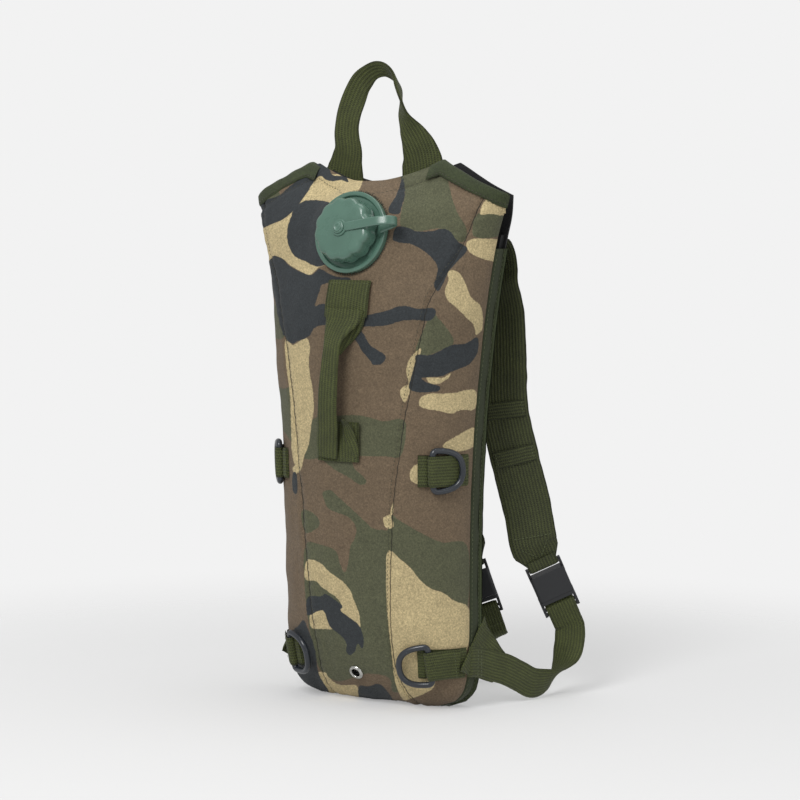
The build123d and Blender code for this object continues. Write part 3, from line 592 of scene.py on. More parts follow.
PATCHES = {
    "green": [
        [(9, 426), (12, 410), (9, 396), (9, 384), (22, 380), (41, 382), (54, 372), (60, 373), (61, 382),
         (54, 395), (49, 409), (46, 425), (46, 434), (39, 441), (25, 434)],
        [(70, 394), (89, 394), (94, 384), (87, 376), (67, 376)],
        [(34, 316), (38, 311), (45, 303), (51, 291), (39, 284), (27, 280), (20, 283), (28, 304)],
        [(-63, 229), (-45, 232), (-28, 233), (-16, 231), (-5, 228), (12, 228), (9, 201), (-5, 200),
         (-45, 200), (-68, 198), (-65, 212)],
        [(-54, 199), (-33, 197), (-28, 190), (-19, 181), (-23, 177), (-33, 183), (-45, 190)],
        [(-67, 130), (-58, 130), (-46, 126), (-42, 122), (-40, 114), (-36, 107), (-33, 117), (-32, 127),
         (-28, 135), (-27, 143), (-33, 151), (-45, 156), (-50, 159), (-53, 166), (-54, 171), (-48, 173),
         (-42, 168), (-33, 160), (-20, 148), (-13, 142), (3, 136), (3, 97), (3, 60), (6, 34), (10, 14),
         (2, 12), (-1, 23), (-20, 26), (-40, 20), (-54, 27), (-60, 41), (-66, 72), (-69, 110)],
        [(-71, 156), (-64, 156), (-58, 151), (-56, 146), (-59, 142), (-68, 139)],
        [(0, 152), (7, 149), (17, 143), (30, 136), (42, 131), (62, 128), (62, 80), (52, 84), (42, 91),
         (33, 94), (24, 101), (17, 110), (9, 117), (-2, 124)],
        [(-104, 322), (-91, 320), (-87, 312), (-85, 296), (-92, 294), (-104, 300)],
        [(-104, 258), (-86, 254), (-76, 255), (-74, 227), (-78, 212), (-86, 220), (-104, 226)],
        [(-128, 150), (-112, 158), (-106, 130), (-118, 108), (-130, 118)],
        [(-103, 412), (-92, 414), (-86, 404), (-96, 399), (-106, 401)],
    ],
    "sand": [
        [(-57, 424), (-24, 424), (-26, 410), (-36, 390), (-46, 358), (-57, 351), (-60, 348), (-64, 345),
         (-70, 347), (-80, 353), (-86, 358), (-94, 360), (-96, 352), (-104, 350), (-110, 366), (-112, 383),
         (-102, 383), (-94, 386), (-85, 390), (-76, 398), (-67, 410)],
        [(-84, 294), (-78, 289), (-74, 291), (-67, 295), (-64, 287), (-65, 278), (-64, 265), (-62, 255),
         (-61, 239), (-63, 224), (-65, 210), (-69, 199), (-72, 189), (-78, 199), (-79, 221), (-80, 248),
         (-83, 273)],
        [(-78, 191), (-74, 192), (-72, 188), (-75, 186), (-76, 178), (-77, 178), (-77, 186)],
        [(78, 406), (95, 403), (92, 393), (81, 394), (72, 394)],
        [(61, 370), (66, 374), (74, 374), (88, 372), (90, 356), (78, 357), (72, 359), (64, 363)],
        [(46, 347), (50, 349), (56, 346), (61, 337), (65, 327), (73, 319), (74, 303), (69, 297), (67, 305),
         (62, 310), (53, 319), (46, 325), (44, 333), (47, 341)],
        [(26, 263), (37, 263), (43, 263), (49, 267), (46, 262), (39, 258), (32, 258), (29, 262)],
        [(25, 286), (18, 281), (14, 274), (13, 267), (15, 258), (11, 256), (8, 251), (12, 243), (17, 255),
         (20, 270)],
        [(23, 243), (25, 247), (31, 250), (41, 250), (53, 251), (68, 253), (68, 238), (57, 237), (49, 234),
         (41, 236), (29, 238), (24, 240)],
        [(68, 223), (53, 216), (42, 208), (55, 204), (68, 209)],
        [(24, 195), (17, 190), (16, 182), (21, 178), (27, 179), (27, 194)],
        [(-67, 116), (-62, 117), (-55, 114), (-48, 107), (-38, 100), (-32, 93), (-29, 85), (-25, 75),
         (-24, 62), (-30, 67), (-36, 73), (-40, 77), (-38, 80), (-43, 87), (-54, 95), (-59, 100),
         (-68, 102)],
        [(-64, 74), (-58, 76), (-53, 77), (-49, 68), (-46, 62), (-55, 62), (-63, 63)],
        [(-2, 124), (9, 117), (17, 110), (24, 101), (33, 94), (42, 91), (52, 84), (63, 78), (63, 50),
         (55, 36), (38, 24), (34, 14), (17, 6), (10, 6), (4, 20), (1, 45), (-2, 72), (-3, 97)],
        [(-5, 151), (0, 152), (3, 144), (-2, 142), (-5, 146)],
        [(2, 163), (3, 159), (2, 153), (0, 153)],
        [(-52, 27), (-48, 22), (-40, 17), (-28, 17), (-25, 13), (-22, 5), (-33, 6), (-47, 9), (-55, 17),
         (-59, 26)],
        [(-122, 340), (-112, 330), (-108, 300), (-118, 290), (-128, 310)],
        [(-124, 230), (-114, 222), (-112, 190), (-122, 180), (-132, 205)],
        [(-116, 90), (-106, 96), (-102, 74), (-112, 60), (-124, 70)],
    ],
    "black": [
        [(-57, 424), (-67, 410), (-76, 398), (-85, 390), (-94, 386), (-102, 383), (-114, 382), (-114, 402),
         (-103, 405), (-90, 408), (-80, 416), (-68, 426), (-60, 434), (-50, 432), (-46, 425), (-36, 424),
         (-33, 419), (-39, 421), (-45, 420), (-51, 421)],
        [(-63, 405), (-69, 404), (-76, 399), (-79, 392), (-82, 382), (-82, 372), (-79, 364), (-75, 359),
         (-68, 356), (-62, 353), (-55, 352), (-40, 360), (-35, 385), (-45, 400), (-52, 404)],
        [(-94, 360), (-86, 358), (-80, 352), (-70, 347), (-64, 345), (-59, 348), (-56, 350), (-44, 344),
         (-33, 343), (-33, 340), (-53, 338), (-56, 333), (-58, 327), (-60, 320), (-53, 322), (-40, 316),
         (-21, 313), (-9, 315), (-1, 317), (7, 320), (14, 320), (22, 318), (36, 318), (33, 309), (18, 309),
         (8, 308), (-1, 305), (-10, 304), (-23, 303), (-20, 296), (-16, 289), (-10, 285), (-4, 281),
         (-4, 277), (-7, 274), (-13, 273), (-17, 278), (-23, 285), (-27, 292), (-40, 304), (-58, 304),
         (-64, 297), (-68, 294), (-74, 292), (-78, 290), (-84, 294), (-87, 301), (-90, 313), (-93, 324),
         (-98, 338), (-99, 351)],
        [(4, 382), (8, 384), (14, 383), (22, 380), (33, 380), (41, 382), (48, 380), (54, 372), (62, 366),
         (56, 358), (47, 348), (41, 335), (38, 332), (35, 338), (37, 343), (38, 351), (34, 358), (26, 365),
         (16, 370), (7, 371), (2, 374)],
        [(10, 426), (12, 410), (9, 399), (8, 394), (-1, 395), (0, 401), (4, 407), (8, 417)],
        [(21, 281), (32, 281), (41, 285), (50, 289), (60, 290), (70, 295), (70, 283), (64, 274), (58, 271),
         (50, 268), (41, 264), (27, 263), (25, 262), (30, 259), (37, 257), (40, 255), (38, 252), (27, 251),
         (19, 252), (15, 255), (17, 264), (20, 275)],
        [(-66, 87), (-55, 88), (-52, 90), (-45, 86), (-38, 80), (-40, 77), (-34, 72), (-25, 65), (-22, 58),
         (-21, 51), (-22, 46), (-26, 50), (-28, 44), (-32, 41), (-35, 44), (-35, 51), (-41, 58), (-48, 64),
         (-53, 76), (-58, 76), (-66, 73)],
        [(-25, 16), (-17, 16), (-9, 18), (-3, 13), (1, 4), (-22, 4)],
        [(-74, 64), (-69, 69), (-65, 60), (-60, 45), (-57, 26), (-48, 8), (-68, 10), (-84, 16), (-98, 30),
         (-96, 50), (-82, 58)],
        [(-78, 186), (-75, 186), (-74, 172), (-76, 170), (-78, 174)],
        [(-116, 280), (-108, 274), (-104, 250), (-114, 240), (-124, 258)],
        [(-110, 380), (-126, 384), (-128, 350), (-116, 346)],
    ],
}


def eye_axes():
    """The camera's right, up and backward directions, and its place."""
    a, e = CAMERA_YAW, CAMERA_PITCH
    back = np.array([math.sin(a) * math.cos(e), -math.cos(a) * math.cos(e), math.sin(e)])
    level = np.array([math.cos(a), math.sin(a), 0])
    lift = np.cross(back, level)
    c, s = math.cos(CAMERA_ROLL), math.sin(CAMERA_ROLL)
    right, up = level * c + lift * s, lift * c - level * s
    place = back * CAMERA_DISTANCE + level * CAMERA_AIM[0] + np.array([0, 0, CAMERA_AIM[1]])
    return right, up, back, place


def print_place(p):
    """Where points fall on the print's plane."""
    right, up, back, place = eye_axes()
    d = p - place
    away = -(d @ back)
    return np.stack([PRINT_PLANE * (d @ right) / away + PRINT_SHIFT[0],
                     PRINT_PLANE * (d @ up) / away + PRINT_SHIFT[1]], -1)


def smooth_outline(points, steps=5):
    ring = np.asarray(points, float)
    p0, p1, p2, p3 = np.roll(ring, 1, 0), ring, np.roll(ring, -1, 0), np.roll(ring, -2, 0)
    out = []
    for f in np.arange(steps) / steps:
        out.append(0.5 * (2 * p1 + (p2 - p0) * f + (2 * p0 - 5 * p1 + 4 * p2 - p3) * f**2
                          + (3 * p1 - p0 - 3 * p2 + p3) * f**3))
    return np.stack(out, 1).reshape(-1, 2)


def outline_distance(place, outline):
    """Signed distance of each place to a closed outline, negative inside."""
    best = np.full(len(place), 1e9)
    inside = np.zeros(len(place), bool)
    for a, b in zip(outline, np.roll(outline, -1, 0)):
        edge = b - a
        t = np.clip(((place - a) @ edge) / max(edge @ edge, 1e-9), 0, 1)
        best = np.minimum(best, ((place - a - t[:, None] * edge)**2).sum(1))
        crosses = (a[1] > place[:, 1]) != (b[1] > place[:, 1])
        if a[1] != b[1]:
            inside ^= crosses & (place[:, 0] < a[0] + (place[:, 1] - a[1]) * edge[0] / edge[1])
    return np.sqrt(best) * np.where(inside, -1, 1)


def camo_numbers(place):
    """Distance to the nearest patch of each ink."""
    flat = place.reshape(-1, 2)
    numbers = {}
    for ink, outlines in PATCHES.items():
        best = np.full(len(flat), 30.0)
        for points in outlines:
            outline = smooth_outline(points)
            low, high = outline.min(0) - 12, outline.max(0) + 12
            near = ((flat > low) & (flat < high)).all(1)
            if near.any():
                best[near] = np.minimum(best[near], outline_distance(flat[near], outline))
        numbers[ink] = best
    return numbers


# ---- sewn body ----

def filler_axes():
    out = np.array([0, -math.cos(FILLER_TILT), math.sin(FILLER_TILT)])
    return np.array([1.0, 0, 0]), np.cross(out, [1.0, 0, 0]), out


def filler_point(r, angle, w):
    x, y, out = filler_axes()
    return FILLER_CENTRE + x * r * math.cos(angle) + y * r * math.sin(angle) + out * w


def flatten_at_filler(p):
    """Draw the fabric to the plane behind the filler's flange."""
    x, y, out = filler_axes()
    d = p - FILLER_CENTRE
    r = np.hypot(d @ x, d @ y)
    w = d @ out
    pull = 1 - smoothstep(r, 33, 50)
    return p + out * ((-2.6 - w) * pull)[..., None], r


def shell_grid(cols, rows, low=0.0, top_drop=0.0, span=90.0):
    """Angles and heights over the front, from the bottom to the top edge."""
    a = np.linspace(-span, span, cols) * DEG
    top = np.full(cols, 430.0)
    for _ in range(20):
        top = top_z(half_width(top) * np.sin(a)) - top_drop
    top = np.minimum(top, 445)
    v = np.linspace(0, 1, rows)[:, None]
    z = low + (top[None] - low) * v
    return np.broadcast_to(a[None], z.shape), z


def normals_of(p):
    du = np.gradient(p, axis=1)
    dv = np.gradient(p, axis=0)
    return unit(np.cross(du, dv))


def make_front_shell():
    a, z = shell_grid(201, 261)
    p = front_point(a, z)
    n = normals_of(p)
    d = np.abs(p[..., 0]) - seam_x(z, p[..., 0])
    lift = -1.3 * np.exp(-(d / 1.3)**2) + 0.7 * np.exp(-((np.abs(d) - 6) / 4.0)**2)
    pucker = np.sin(z * 2 * math.pi / 8.5 + 1.6 * ripple(p, 25.0)) * np.exp(-(np.abs(d) / 8)**1.5)
    lift = lift + 0.35 * pucker + 0.55 * ripple(p, 42.0, 4) + 0.28 * ripple(p, 16.0, 12)
    edge = np.cos(a)**0.5
    hang = smoothstep(z, 330, 420) * (1.2 * np.sin(p[..., 0] / 17 + 0.9) * np.cos(z / 31))
    lift = (lift + hang) * np.clip(edge * 1.6, 0.15, 1)
    top_room = smoothstep(top_z(p[..., 0]) - z, 0, 14)
    lift = lift * (0.35 + 0.65 * top_room) - 1.4 * np.exp(-((top_z(p[..., 0]) - z - 11) / 2.2)**2)
    p = p + n * lift[..., None]
    p, r = flatten_at_filler(p)
    n = normals_of(p)
    hem = []
    for k in range(1, 7):
        angle = math.pi * k / 6
        hem.append(p[-1] + np.array([0, 0, 1.1 * math.sin(angle)]) - n[-1] * 1.1 * (1 - math.cos(angle)))
    for drop in (4, 9, 15):
        hem.append(hem[5] - np.array([0, 0, float(drop)]) - n[-1] * 0.1)
    full = np.concatenate([p, np.array(hem)])
    place = print_place(full)
    step = np.linalg.norm(np.diff(full, axis=1), axis=-1)
    middle = full.shape[1] // 2
    for k in range(middle - 1, -1, -1):
        move = np.maximum(place[:, k + 1, 0] - place[:, k, 0], 0.3 * step[:, k])
        place[:, k, 0] = place[:, k + 1, 0] - move
    centre = (full[:-1, :-1] + full[1:, 1:]) / 2
    x, y, _ = filler_axes()
    gone = np.hypot((centre - FILLER_CENTRE) @ x, (centre - FILLER_CENTRE) @ y) < 22
    gone &= centre[..., 1] < -30
    drain = front_at(0, DRAIN_Z)
    gone |= np.linalg.norm(centre - drain, axis=-1) < 4.6
    seam = full[..., 0] - np.where(full[..., 0] > 0, 1, -1) * seam_x(full[..., 2], full[..., 0])
    sheet = Sheet().grid(full, drop=gone, seam=seam, **camo_numbers(place))
    obj = sheet.build("front_shell", MATERIALS["camo"])
    settle(obj, "root", "camo_fabric", "front_center_panel", "front_side_panel_left",
           "front_side_panel_right")
    return p, n


def make_seam_stitches(p, n):
    """Topstitching beside both seams and under the top edge."""
    sheet = Sheet()
    rows, cols = p.shape[:2]
    for side in (-1, 1):
        path, normals = [], []
        for k in range(3, rows - 6, 2):
            target = side * (seam_x(p[k, cols // 2, 2], side) - 1.7)
            j = np.searchsorted(p[k, :, 0], target)
            if 1 < j < cols - 1:
                f = (target - p[k, j - 1, 0]) / (p[k, j, 0] - p[k, j - 1, 0])
                path.append(p[k, j - 1] * (1 - f) + p[k, j] * f)
                normals.append(n[k, j])
        stitches(sheet, path, normals, 1.9, 1.3, 0.45, 0.02)
    j = np.arange(8, cols - 8)
    drop = top_z(p[-1, j, 0]) - 11
    path, normals = [], []
    for col, z in zip(j, drop):
        k = int(np.clip(np.searchsorted(p[:, col, 2], z), 1, rows - 1))
        path.append(p[k, col])
        normals.append(n[k, col])
    stitches(sheet, path, normals, 2.4, 1.3, 0.5, 0.02)
    sew(sheet, "seam_stitches", "root", "dark_thread")


def make_lining():
    """Padded black lining behind the front fabric."""
    a, z = shell_grid(81, 121, low=4, top_drop=6, span=88)
    p = front_point(a, z, -5.2)
    p = p + normals_of(p) * (0.5 * ripple(p, 30.0))[..., None]
    x, y, _ = filler_axes()
    centre = (p[:-1, :-1] + p[1:, 1:]) / 2
    gone = np.hypot((centre - FILLER_CENTRE) @ x, (centre - FILLER_CENTRE) @ y) < 30
    gone &= centre[..., 1] < -30
    obj = Sheet().grid(p[:, ::-1], drop=gone[:, ::-1]).build("front_lining", MATERIALS["lining"])
    settle(obj, "root", "black_fabric", "foam_liner")


def edge_outline(step=5.0, top=OPENING_HEIGHT, out=0.0):
    """Points and outward directions round the edge, from the +X opening under the bottom to the -X one."""
    z = np.linspace(top, 0, int(top / step))
    right = np.stack([half_width(z), 0 * z, z], -1)
    x = np.linspace(right[-1, 0], -right[-1, 0], 24)[1:-1]
    under = np.stack([x, 0 * x, 0 * x], -1)
    left = right[::-1] * [-1, 1, 1]
    path = np.vstack([right, under, left])
    tangent = unit(np.gradient(path, axis=0))
    outward = np.cross(tangent, [0, 1, 0])
    for _ in range(3):
        outward = unit(outward + np.roll(outward, 1, 0) * 0.5 + np.roll(outward, -1, 0) * 0.5)
    outward[0], outward[-1] = [1, 0, 0], [-1, 0, 0]
    return path + outward * out, outward


def make_side_band():
    path, outward = edge_outline()
    profile = [(-14.0, -3.0), (-15.2, -0.6), (-14.6, 0.2), (-12, 0.9), (-8.5, 1.2), (-5, 0.9), (-2.6, 0.3),
               (-1.8, -1)]
    rows = []
    for y, out in profile:
        wave = 0.35 * ripple(path + [0, y, 0], 18.0, 3)
        rows.append(path + outward * (out + wave)[:, None] + np.array([0, y, 0]))
    p = np.array(rows).transpose(1, 0, 2)
    sheet = Sheet().grid(p[:, ::-1])
    for end in (0, -1):
        tuck = p[end] - outward[end] * 9 - np.array([0, 0, 1.0])
        pair = np.stack([p[end], tuck] if end == 0 else [tuck, p[end]])
        sheet.grid(pair[:, ::-1])
    obj = sheet.build("side_band", MATERIALS["band"])
    settle(obj, "root", "green_fabric", "side_band")
    thread = Sheet()
    for y in (-13.6, -3.4):
        line = path + outward * 0.9 + np.array([0, y, 0])
        stitches(thread, line, outward, 2.4, 1.3, 0.5, 0.0)
    sew(thread, "side_band_stitches", "root")


def tape_roll(sheet, path, outward, across, radius_out, radius_across, turn=(20, 340), steps=12):
    """Tape folded round an edge: an open oval section swept along path."""
    angles = np.linspace(turn[0], turn[1], steps) * DEG
    rows = [path + outward * (radius_out * np.cos(t + math.pi))
            + across * (radius_across * np.sin(t + math.pi)) for t in angles]
    sheet.grid(np.array(rows).transpose(1, 0, 2))


def make_edge_binding():
    path, outward = edge_outline(out=0.6)
    base = path + np.array([0, -1.0, 0])
    wave = (0.15 * ripple(base, 12.0))[:, None]
    sheet = Sheet()
    tape_roll(sheet, base + outward * wave, -outward, np.array([0, 1.0, 0]) + 0 * base, 2.3, 1.9)
    obj = sheet.build("edge_binding", MATERIALS["tape"])
    settle(obj, "root", "green_fabric", "edge_binding")


def flap_lean(x, z):
    """How far the closed flap's shoulders are drawn forward to the front."""
    return 9.0 * smoothstep(np.abs(x), 62, 104) * smoothstep(z, FOLD_HEIGHT, FOLD_HEIGHT + 34)


def make_back():
    """Back panel and top flap in one mesh; above the fold line the flap's shoulders are drawn forward."""
    cols, rows = 61, 121
    s = np.linspace(-1, 1, cols)
    v = np.linspace(0, 1, rows)[:, None]
    top = np.full(cols, 430.0)
    for _ in range(20):
        top = top_z(np.minimum(half_width(top), 121) * s)
    z = top[None] * v
    x = half_width(z) * s[None]
    inset = np.minimum(1, (1 - np.abs(s[None])) * half_width(z) / 14)
    pad = 2.2 * smoothstep(inset, 0, 1) * smoothstep(z, 0, 14) * (1 - 0.9 * smoothstep(z, 372, 386))
    lean = flap_lean(x, z)
    flat = np.stack([x, -lean, z], -1)
    pad = pad + 0.3 * ripple(flat, 22.0)
    outer = flat + np.array([0, 1.0, 0]) * (pad - 0.2)[..., None]
    inner = flat + np.array([0, -1.6, 0])
    flap = smoothstep(z, FOLD_HEIGHT - 24, FOLD_HEIGHT - 21) + 0 * x
    sheet = Sheet().grid(outer[:, ::-1], flap=flap[:, ::-1]).grid(inner, flap=flap)
    rim = [(np.stack([outer[-1], inner[-1]]), np.ones((2, cols))),
           (np.stack([outer[:, 0], inner[:, 0]])[:, ::-1], np.stack([flap[:, 0]] * 2)[:, ::-1]),
           (np.stack([outer[:, -1], inner[:, -1]]), np.stack([flap[:, -1]] * 2))]
    for strip, number in rim:
        sheet.grid(strip, flap=number)
    obj = sheet.build("back_and_flap", MATERIALS["back"])
    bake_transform(obj)
    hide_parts("back_panel", "top_flap")
    low, high = 10.0, FOLD_HEIGHT - 14
    zs = np.linspace(low, high, 60)
    right = np.stack([half_width(zs) - 9, 0 * zs + 0.9, zs], -1)
    xs = np.linspace(right[-1, 0], -right[-1, 0], 40)
    over = np.stack([xs, 0 * xs + 0.9, 0 * xs + high], -1)
    path = np.vstack([right, over[1:-1], right[::-1] * [-1, 1, 1]])
    thread = Sheet()
    stitches(thread, path, np.array([0, 1.0, 0]) + 0 * path, 2.6, 1.4, 0.55, 0.3)
    sew(thread, "back_stitches", "root")


def make_back_lining():
    z = np.linspace(3, FOLD_HEIGHT - 7, 60)[:, None]
    s = np.linspace(-1, 1, 31)[None]
    x = (half_width(z) - 2.5) * s
    soft = -7.0 - 0.8 * (1 - s**6) + 0.3 * ripple(np.stack([x, 0 * x, z + 0 * x], -1), 25.0)
    p = np.stack([x, soft + 0 * x, z + 0 * x], -1)
    sheet = Sheet().grid(p)
    behind = p.copy()
    behind[..., 1] = -1.8
    for strip in (np.stack([p[-1], behind[-1]]), np.stack([behind[:, 0], p[:, 0]]),
                  np.stack([p[:, -1], behind[:, -1]])):
        sheet.grid(strip)
    obj = sheet.build("back_lining", MATERIALS["lining"])
    settle(obj, "root", "black_fabric", "back_foam")


def shoulder_path(side, steps=40):
    """Across and up along a sloping part of the top edge; both sides take the right side's heights."""
    x = np.linspace(SHOULDER_PEAK[0] - 3, 119.5, steps)
    return side * x, top_z(x)


def make_shoulder_bindings():
    """Tape folded over each sloping part of the front's top edge."""
    for side, name in ((1, "right"), (-1, "left")):
        rows = []
        x, z = shoulder_path(side)
        for drop, out in ((10.5, 0.5), (10.2, 1.5), (7, 1.9), (3, 1.9), (0.4, 1.6), (-1.2, 0.6),
                          (-1.8, -1.2),
                          (-1.2, -3.0), (0.6, -3.9), (5, -4.1), (10, -4.0)):
            at = np.minimum(z - drop, 444)
            a = np.arcsin(np.clip(x / half_width(at), -1, 1))
            row = front_point(a, at, out)
            row[:, 2] = z - drop
            rows.append(row + np.array([0, 0, 1.0]) * (0.5 * ripple(row, 14.0))[:, None])
        grid = np.array(rows)
        sheet = Sheet().grid(grid if side < 0 else grid[:, ::-1])
        obj = sheet.build(f"shoulder_binding_{name}", MATERIALS["tape"])
        settle(obj, "root", "green_fabric", f"shoulder_binding_{name}")
        thread = Sheet()
        line = front_point(np.arcsin(np.clip(x / half_width(z - 8.6), -1, 1)), z - 8.6, 2.0)
        normals = np.array([0, -1.0, 0]) + 0 * line
        stitches(thread, line, normals, 2.3, 1.2, 0.5, 0.0)
        sew(thread, f"shoulder_stitches_{name}", "root", "dark_thread")


def top_strip(name, node, body, material, span, low, high, y_of, side):
    """A fastening strip that follows the top edge."""
    x = np.linspace(-span, span, 71)[None]
    drop = np.linspace(low, high, 8)[:, None]
    z = top_z(x) - drop
    z = np.maximum(z, 393.0) if body == "top_flap" else z
    p = np.stack([x + 0 * z, y_of(x + 0 * z, z), z], -1)
    back = p + np.array([0, side * 1.3, 0])
    sheet = Sheet().grid(p if side > 0 else p[:, ::-1]).grid(back[:, ::-1] if side > 0 else back)
    obj = sheet.build(name, material)
    settle(obj, body, "hook_and_loop", node)


# ---- webbing and fittings on the front ----

def make_haul_loop():
    keys = [
        ((-43.5, -3.8, 420), (1, 0, 0), 39), ((-43.5, -3.8, 432), (1, 0, 0), 36),
        ((-41.5, -4, 442), (1, 0, 0), 31),
        ((-39.5, -5, 452), (1, 0.05, 0), 25.5), ((-40.3, -6, 466), (1, .1, 0), 22.5),
        ((-37.5, -7, 480), (.98, .12, -.1), 21.5), ((-32.0, -7, 494), (.93, .3, -.25), 20),
        ((-25.5, -7, 506), (.8, .4, -.45), 18), ((-15.5, -7, 514.5), (.45, .55, -.7), 15.5),
        ((-5.0, -7, 516.5), (.05, .62, -.78), 15.5), ((4.5, -6, 511), (-.3, .8, -.5), 17),
        ((10, -6, 501), (-.3, .95, -.1), 19), ((12.3, -6, 490), (-.535, .842, 0), 20),
        ((14.5, -6, 479), (-.8, .6, 0), 20), ((19.5, -5.5, 469), (-1, .15, .05), 21),
        ((25.5, -5, 459), (-1, 0, .05), 27.5),
        ((30.5, -4, 447), (-1, 0, 0), 35.5), ((32.5, -3.8, 434), (-1, 0, 0), 39),
        ((32.5, -3.8, 420), (-1, 0, 0), 39),
    ]
    sheet = Sheet()
    ribbon(sheet, keys, 2.4, 2.2, 17, cup=0.6, wobble=0.025)
    obj = sheet.build("haul_loop", MATERIALS["wide"])
    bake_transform(obj)
    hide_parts("haul_loop", "haul_loop_tabs")


def sewn_patch(sheet, thread, x0, x1, z0, z1, out=1.0, thick=1.4, box_stitch=True):
    """Flat webbing sewn to the front between two sides and two heights."""
    keys = []
    for z in np.linspace(z0, z1, 5):
        middle = (x0 + x1) / 2
        p, dx, dz, n = front_frame(middle, z)
        keys.append((p + n * out, dx, x1 - x0))
    ribbon(sheet, keys, thick, 2.5, 13, wobble=0.01)
    if box_stitch:
        inset = 2.4
        corners = [(x0 + inset, z0 + inset), (x1 - inset, z0 + inset), (x1 - inset, z1 - inset),
                   (x0 + inset, z1 - inset), (x0 + inset, z0 + inset)]
        path, normals = [], []
        for (xa, za), (xb, zb) in zip(corners, corners[1:]):
            for t in np.linspace(0, 1, 12):
                middle = (x0 + x1) / 2
                p, dx, dz, n = front_frame(middle, za + (zb - za) * t)
                path.append(p + dx * (xa + (xb - xa) * t - middle) + n * (out + thick / 2))
                normals.append(n)
        stitches(thread, path, normals, 2.2, 1.1, 0.5, 0.0)


def make_front_handle():
    sheet, thread = Sheet(), Sheet()
    sewn_patch(sheet, thread, -16.5, 23.5, 316, 345, 1.5)
    sewn_patch(sheet, thread, -21.0, 19.0, 201, 233, 1.5)

    def key(x, z, out, across, width):
        p, dx, dz, n = front_frame(x, z)
        return p + n * out, dx * across[0] + n * across[1], width

    fold = [key(2.5, 322, 2.6, (1, 0), 37), key(2.0, 314, 3.5, (1, 0), 34),
            key(0.0, 305, 7.0, (1, 0.1), 26),
            key(-1.0, 296, 11.0, (1, 0.2), 20), key(-1.0, 284, 13.5, (1, 0.15), 18),
            key(-2.0, 264, 14.5, (1, 0), 18),
            key(-3.5, 244, 13.5, (1, 0), 18.5), key(-6.0, 228, 9.5, (1, 0), 20),
            key(-9.5, 214, 5.0, (1, 0), 21),
            key(-10.5, 204, 3.6, (1, 0), 21)]
    ribbon(sheet, fold, 3.0, 2.2, 15, cup=0.8, wobble=0.02)
    wing = [key(14.0, 318, 2.6, (1, 0), 17), key(12.0, 310, 3.0, (1, -0.25), 16),
            key(8.5, 302, 4.0, (0.9, -0.6), 13),
            key(5.0, 294, 6.5, (0.6, -0.9), 9), key(3.0, 287, 9.0, (0.4, -1), 5)]
    ribbon(sheet, wing, 1.6, 2.0, 9, wobble=0.02)
    flap = [key(16.5, 205, 3.0, (1, 0), 4), key(14.0, 214, 3.2, (1, 0.1), 9),
            key(10.0, 223, 3.6, (1, 0.3), 14),
            key(8.0, 230, 4.2, (1, 0.6), 17), key(6.0, 235, 6.0, (0.8, 0.9), 12)]
    ribbon(sheet, flap, 1.5, 2.0, 9, wobble=0.02)
    obj = sheet.build("front_handle", MATERIALS["wide"])
    settle(obj, "root", "webbing", "front_handle")
    sew(thread, "front_handle_stitches", "root")


RINGS = {
    # where: x and height of the bar
    "upper": (71.0, 195.0),
    "lower": (65.0, 39.0),
}
RING_STANDOFF = 4.46
LOOP_RADIUS = 3.35


def make_ring_loop(where, side):
    """Narrow webbing from the pack's edge, sewn down, round the ring's bar and back under itself."""
    x, z = RINGS[where]
    p, dx, dz, n = front_frame(x, z)
    flip = np.array([side, 1, 1])
    out_to_side = float(half_width(z)) - 0.6
    sheet, thread = Sheet(), Sheet()

    def flat(at_x, out):
        q, _, _, m = front_frame(at_x, z)
        return (q + m * out) * flip

    across = dz * flip
    bar = p + n * RING_STANDOFF
    under = [flat(at, 1.0) for at in np.linspace(out_to_side, x + 5, 8)]
    under += [flat(x, 0.9), flat(x - 5, 1.0), flat(x - 9, 1.1)]
    ribbon(sheet, [(q, across, 25) for q in under], 1.4, 2.0, 11, wobble=0.015)
    over = [flat(min(x + 17.0, out_to_side - 1), 2.6), flat(x + 12, 2.9), flat(x + 7.5, 4.6)]
    arc = [(bar + dx * LOOP_RADIUS * math.cos(t) + n * LOOP_RADIUS * math.sin(t)) * flip
           for t in np.linspace(55, 235, 9) * DEG]
    tail = [flat(x - 4.4, 2.6), flat(x - 6.0, 2.3), flat(x - 8.5, 2.1)]
    path = over + arc + tail
    ribbon(sheet, [(q, across, 24.6) for q in path], 1.4, 1.6, 11, wobble=0.015)
    for at in (x + 9.5, x + 15.0):
        if at < out_to_side:
            q, _, up, m = front_frame(at, z)
            line = [(q + up * t + m * 3.6) * flip for t in np.linspace(-11, 11, 12)]
            stitches(thread, line, [m * flip] * 12, 2.2, 0.9, 0.55, 0.0)
    name = f"{where}_{'right' if side > 0 else 'left'}"
    obj = sheet.build(f"ring_loop_{name}", MATERIALS["narrow"])
    settle(obj, "root", "webbing", f"ring_loop_{name}")
    sew(thread, f"ring_loop_stitches_{name}", "root")


# ---- filler, cap, tether, drain ----

